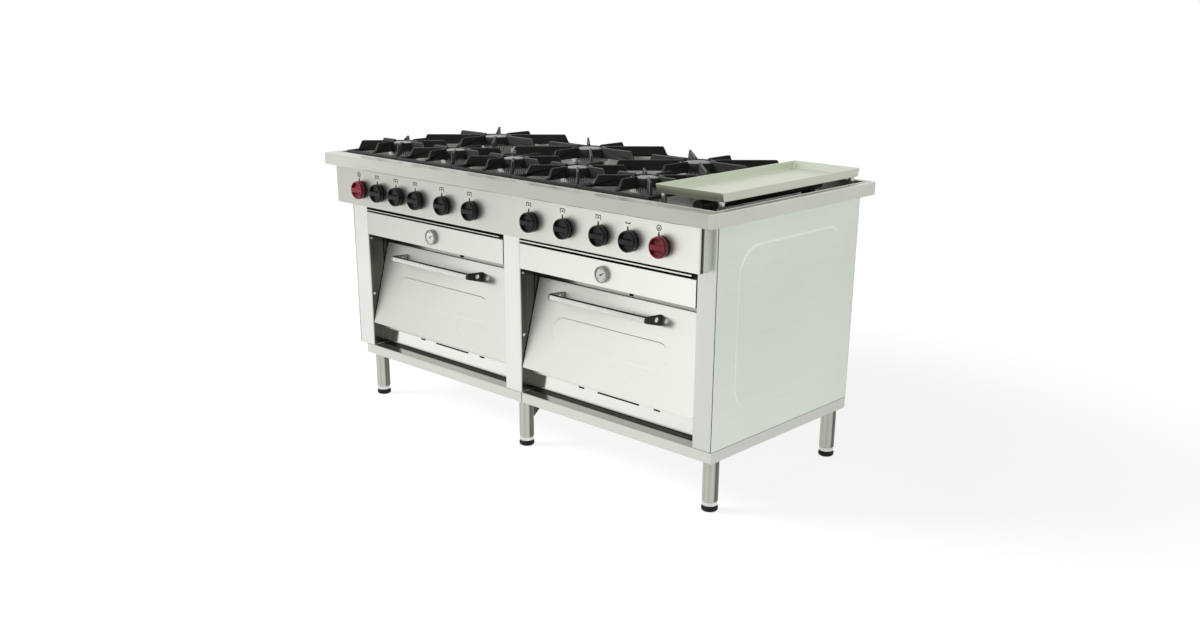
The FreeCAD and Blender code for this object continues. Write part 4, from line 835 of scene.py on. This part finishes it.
LIP_LEVEL = {"left": (661.6, 665), "right": (662.8, 667.4)}
for side in SIDES:
    (x0, x1), (y0, y1), z = spans(side + "_drip_tray")
    body = side + "_tray"
    pan = tray_shape((x0, x1), (y0 + 24, y1), z, SHEET, SHEET)
    lip_low, lip_high = LIP_LEVEL[side]
    shelf = block((x0, x1), (y0 + 2, y0 + 26), (lip_low + 0.8, lip_high - 0.8), "x", 0.6, 0.3)
    # The pan and its shelf are black as painted shade under the steel lip
    build(side + "_crumb_tray", [pan, shelf], "shadow_gap", body=body, stands_for=[side + "_drip_tray"])
    lip = block((x0, x1 - 18), (y0, y0 + 3.4), (lip_low, lip_high), "x", 1.4, 0.4)
    build(side + "_tray_lip", [lip], "front_steel", body=body)

# Screws on the inner sides of the posts
screw_low, screw_high = corners("post_screws")
heads = [round_head((x, (screw_low[1] + screw_high[1]) / 2, level), "x", 5, 2.2, facing) for side in SIDES
         for x, facing in ((door_x[side][0] - 3, 1), (door_x[side][1] + 3, -1))
         for level in (screw_low[2] + 5, screw_high[2] - 5)]
build("post_screw_heads", heads, "screw_steel", stands_for=["post_screws"])

# Burners: a cast head, a bright toothed crown of ports and a cap
grates = [f"front_grate_{number}" for number in range(1, 6)] + [f"rear_grate_{number}" for number in range(1, 4)]
RING_RADIUS = {"front": 48, "rear": 57}
PORTS = {"front": 46, "rear": 56}
RING_WALL, CAP_GAP, BURNER_WALL, CROWN, CROWN_REACH, CAP_LIFT = 5, 3, 7, 13, 4, 4


def burner_shift(at):
    """How far a burner stands to the right of the middle of its grate: 3 mm at the left, 11 mm at the right."""
    return np.array([np.interp(at[0], (-656, 424), (3, 11)), 0, 0])


head_foot, head_top = spans("burner_heads")[2]
cap_foot, cap_top = spans("burner_caps")[2]
cap_top += CAP_LIFT
crown_foot = head_top - CROWN
cast_heads, port_crowns, cap_discs = [], [], []
for node in grates:
    size = node.split("_")[0]
    at = (middle(node) + burner_shift(middle(node))) * (1, 1, 0)
    crown = RING_RADIUS[size] + CROWN_REACH
    body = RING_RADIUS[size] - BURNER_WALL
    cap = RING_RADIUS[size] - RING_WALL - CAP_GAP
    cast = steps_from((body, head_foot), (-9, 0), (5, 0), (4, 3), (0, 6))
    cast += steps_from((body, crown_foot), (0, -2), (1.5, 0))
    cast_heads.append(turned(cast, at, "z", 56))
    teeth = PORTS[size]
    a = np.linspace(0, 2 * np.pi, teeth * 6, endpoint=False)
    wave = smooth(np.cos(teeth * a), -0.35, 0.35)
    # The teeth are pale and the gaps between them darker: painted shade in the gaps
    rings, teeth_gap_shade = [], []
    for r, depth, z in ((body - 2, 0, crown_foot), (crown - 2.4, 1.6, crown_foot), (crown - 1.2, 3, crown_foot + 1.2),
                        (crown - 1.2, 4, crown_foot + 9.4), (crown - 2.8, 3, head_top - 0.6), (cap - 4, 0, head_top)):
        rings.append(lay(circle(r - depth * wave, a), z, "z"))
        teeth_gap_shade.append(1 - wave * min(depth / 3, 1))
    port_crowns.append(moved(skin(rings, np.array(teeth_gap_shade)), at))
    disc = [(cap - 6, cap_foot), (cap, cap_foot), *steps_from((cap, cap_top), (0, -5.4), (-0.8, -4.2), (-3, -3.4),
                                                              (-14, -0.3), (-20, 0)), (1, cap_top)]
    cap_discs.append(turned(disc, at, "z", 64))
build("cast_burner_heads", cast_heads, "head_alloy", stands_for=["burner_heads"])
build("port_crowns", port_crowns, "port_alloy")
build("cap_discs", cap_discs, "cap_iron", stands_for=["burner_caps"])


# Grates: a square of bars, a tall ring and eight upright fins
FIN_END = {"front": 152, "rear": 256}
FIN_SHORT = {"front": (15, 15), "rear": (28, 32)}
BAR, FIN_SLOPE, FIN_GAP, RING_LIFT, RING_TALL = 10, 14, 5, 4, 24
BAR_PROFILE = [(0.12, 0, 0.9), (0, 1.5, 1), (0, BAR - 2.5, 1), (0.15, BAR - 0.6, 0.95), (0.35, BAR, 0.9),
               (0.65, BAR, 0.8), (0.85, BAR - 0.6, 0.8), (1, BAR - 2.5, 0.7), (1, 1.5, 0.7), (0.88, 0, 0.7)]


def fin_shape(start, end, toe, base, top, turn, centre):
    """A plate outline with a sloping outer end and a low toe beyond it, aimed outwards at an angle."""
    outline = rounded_polygon([(start, base), (toe, base), (toe, base + 3), (end, base + 3.4), (end - FIN_SLOPE, top),
                               (start + 3, top), (start, top - 4)], [0.8, 0.5, 0.5, 1, 5, 2.5, 2])
    points, quads, ends, painted_light_and_edge_marks = plate(outline, (-4.5, 4.5), "y", 1.6)
    x, y, z = points.T
    painted_light_and_edge_marks = painted_light_and_edge_marks * smooth(x, start + 1.5, start + 3.5) * smooth(-x, -end - 0.5, -end + 1.5)
    y = y * (1 - 0.25 * (z - base) / (top - base))
    aimed = spun(np.stack([x, y], axis=1), turn) + centre[:2]
    return lay(aimed, z, "z"), quads, ends, painted_light_and_edge_marks


for node in grates:
    size = node.split("_")[0]
    ring = RING_RADIUS[size]
    low, high = corners(node)
    bar_top = low[2] + BAR
    outer = list(zip(low, high))[:2]
    inner = list(zip(low + BAR, high - BAR))[:2]
    bars = moved(band(outer, inner, BAR_PROFILE, 3), (0, 0, low[2]))
    at = (low + high) / 2
    at = at + burner_shift(at)
    foot = bar_top + RING_LIFT
    rim = foot + RING_TALL
    bore = ring - RING_WALL
    tread = [(ring - 1, foot), (ring, foot + 1), (ring, rim - 1.6), (ring - 0.6, rim - 0.5), (ring - 1.6, rim),
             (bore + 1.6, rim), (bore + 0.6, rim - 0.5), (bore, rim - 1.6), (bore, foot + 1), (bore + 1, foot)]
    edge_marks_and_painted_light = [0, 0, 0.2, 0.9, 1, 1, 0.9, 0.2, 0, 0]
    shapes = [bars, turned(tread, at * (1, 1, 0), "z", 72, edge_marks_and_painted_light=edge_marks_and_painted_light, looped=True)]
    for step in range(8):
        turn = radians(45 * step)
        lengthwise = 0 if step in (0, 4) else 1
        half = (high - low)[lengthwise] / 2
        offset = burner_shift(at)[0] * cos(turn)
        end = FIN_END[size] if step % 2 else half - FIN_SHORT[size][lengthwise]
        toe = end + 0.6 if step % 2 else half - FIN_GAP - offset
        shapes.append(fin_shape(bore - 2, end, toe, bar_top - 1, high[2], turn, at))
    build(node + "_casting", shapes, "grate_iron", body=node + "_body", stands_for=[node], sharp=50)

# Griddle: a flared tray on four pegs
PEG_INSET = 17
(x0, x1), (y0, y1), (peg_foot, griddle_top) = spans("griddle")
tray_foot = griddle_top - 24
griddle = tray_shape((x0, x1), (y0, y1), (tray_foot, griddle_top), 3, 3, flare=(1, 6), corner=3)
build("griddle_tray", [griddle], "griddle_steel", body="griddle_body", stands_for=["griddle"])
peg = [(7.5, peg_foot), (9, peg_foot + 1), (9, tray_foot - 4), (9, tray_foot)]
pegs = [turned(peg, (x, y, 0), "z", 28) for x in (x0 + PEG_INSET, x1 - PEG_INSET)
        for y in (y0 + PEG_INSET, y1 - PEG_INSET)]
build("griddle_pegs", pegs, "bar_steel", body="griddle_body")

# Stage: a pale floor, a wide soft key from the front left and a weaker fill
LIT_PATCH = (0.3, -0.8, 0)
NEAR_GLOW, FAR_GLOW, CAMERA_GLOW = 0.74, 0.62, 0.86
WORLD_MIRRORED, WORLD_MATT = 0.84, 0.06
FLOOR_REACH = 12


def stage_finish():
    """White to the camera; to mirrors it dims with distance from the lit patch; its matt part keeps shadows."""
    material = bpy.data.materials.new("stage_white")
    material.use_nodes = True
    stage = Nodes(material.node_tree)
    stage.tree.nodes.clear()
    path = stage.node("ShaderNodeLightPath").outputs
    place = stage.node("ShaderNodeTexCoord").outputs["Object"]

    def graded(point, near, far, start, end):
        """A smooth step from start to end with the distance from a point."""
        apart = stage.math("DISTANCE", place, point, kind="ShaderNodeVectorMath")
        limits = {"From Min": near, "From Max": far, "To Min": start, "To Max": end}
        made = stage.node("ShaderNodeMapRange", Value=apart, **limits)
        made.interpolation_type = "SMOOTHSTEP"
        return made.outputs["Result"]

    mirrored = stage.math("MULTIPLY", path["Is Glossy Ray"], graded(LIT_PATCH, 0.5, 4.5, NEAR_GLOW, FAR_GLOW))
    shown = graded((0, 0, 0), 0.9, 3.2, CAMERA_GLOW, 1)
    glow = stage.node("ShaderNodeEmission", Strength=stage.math("MULTIPLY_ADD", path["Is Camera Ray"], shown, mirrored))
    matt = stage.node("ShaderNodeBsdfDiffuse", Color=(0.3, 0.3, 0.3, 1))
    both = stage.node("ShaderNodeAddShader", glow.outputs[0], matt.outputs[0])
    stage.node("ShaderNodeOutputMaterial", Surface=both.outputs[0])
    return material


floor_mesh = bpy.data.meshes.new("floor")
edges = [(x * FLOOR_REACH, y * FLOOR_REACH, 0) for x, y in ((-1, -1), (1, -1), (1, 1), (-1, 1))]
floor_mesh.from_pydata(edges, [], [(0, 1, 2, 3)])
floor_mesh.materials.append(stage_finish())
floor = bpy.data.objects.new("floor", floor_mesh)
bpy.context.collection.objects.link(floor)

world = bpy.data.worlds.new("studio")
bpy.context.scene.world = world
world.use_nodes = True
sky = Nodes(world.node_tree)
path = sky.node("ShaderNodeLightPath").outputs
mirrored = sky.math("MULTIPLY_ADD", path["Is Glossy Ray"], WORLD_MIRRORED, WORLD_MATT)
background = sky.tree.nodes["Background"].inputs
sky.put(background["Strength"], sky.math("MAXIMUM", path["Is Camera Ray"], mirrored))
sky.put(background["Color"], (1, 1, 1, 1))


def stand(name, data, place, right, up, back):
    """An object at a place with its axes along right, up and back."""
    matrix = np.eye(4)
    matrix[:3, :] = np.stack([right, up, back, place], axis=1)
    made = bpy.data.objects.new(name, data)
    made.matrix_world = Matrix(matrix.tolist())
    bpy.context.collection.objects.link(made)
    return made


def lamp(name, place, target, size, power):
    """A soft rectangle of light that faces a target and shows in no mirror."""
    data = bpy.data.lights.new(name, "AREA")
    data.shape = "RECTANGLE"
    data.size, data.size_y = size
    data.energy = power
    back = np.subtract(place, target)
    back = back / np.linalg.norm(back)
    right = np.cross((0, 0, 1), back)
    right = right / np.linalg.norm(right)
    stand(name, data, place, right, np.cross(back, right), back).visible_glossy = False


lamp("key", (-3.4, -3.2, 3.4), (0, -0.1, 0.6), (2.4, 2.2), 280)
lamp("fill", (3.2, -2.6, 3), (0.3, 0, 0.4), (2.4, 2.4), 6)

# Camera: where the photograph was taken from
CAMERA_PLACE = (2.6771, -2.7696, 1.394)
azimuth, elevation, roll = (radians(angle) for angle in (43.01, 18.86, 0.39))
right = np.array([cos(azimuth), sin(azimuth), 0])
level_back = np.array([sin(azimuth), -cos(azimuth), 0])
back = level_back * cos(elevation) + np.array([0, 0, sin(elevation)])
up = np.cross(back, right)
camera_data = bpy.data.cameras.new("camera")
camera_data.sensor_width = 36
camera_data.lens = 36.573
camera_data.shift_x = -0.0011
camera_data.shift_y = 0.07
bpy.context.scene.camera = stand("camera", camera_data, CAMERA_PLACE, cos(roll) * right + sin(roll) * up,
                                 cos(roll) * up - sin(roll) * right, back)
bpy.context.scene.view_settings.view_transform = "Standard"
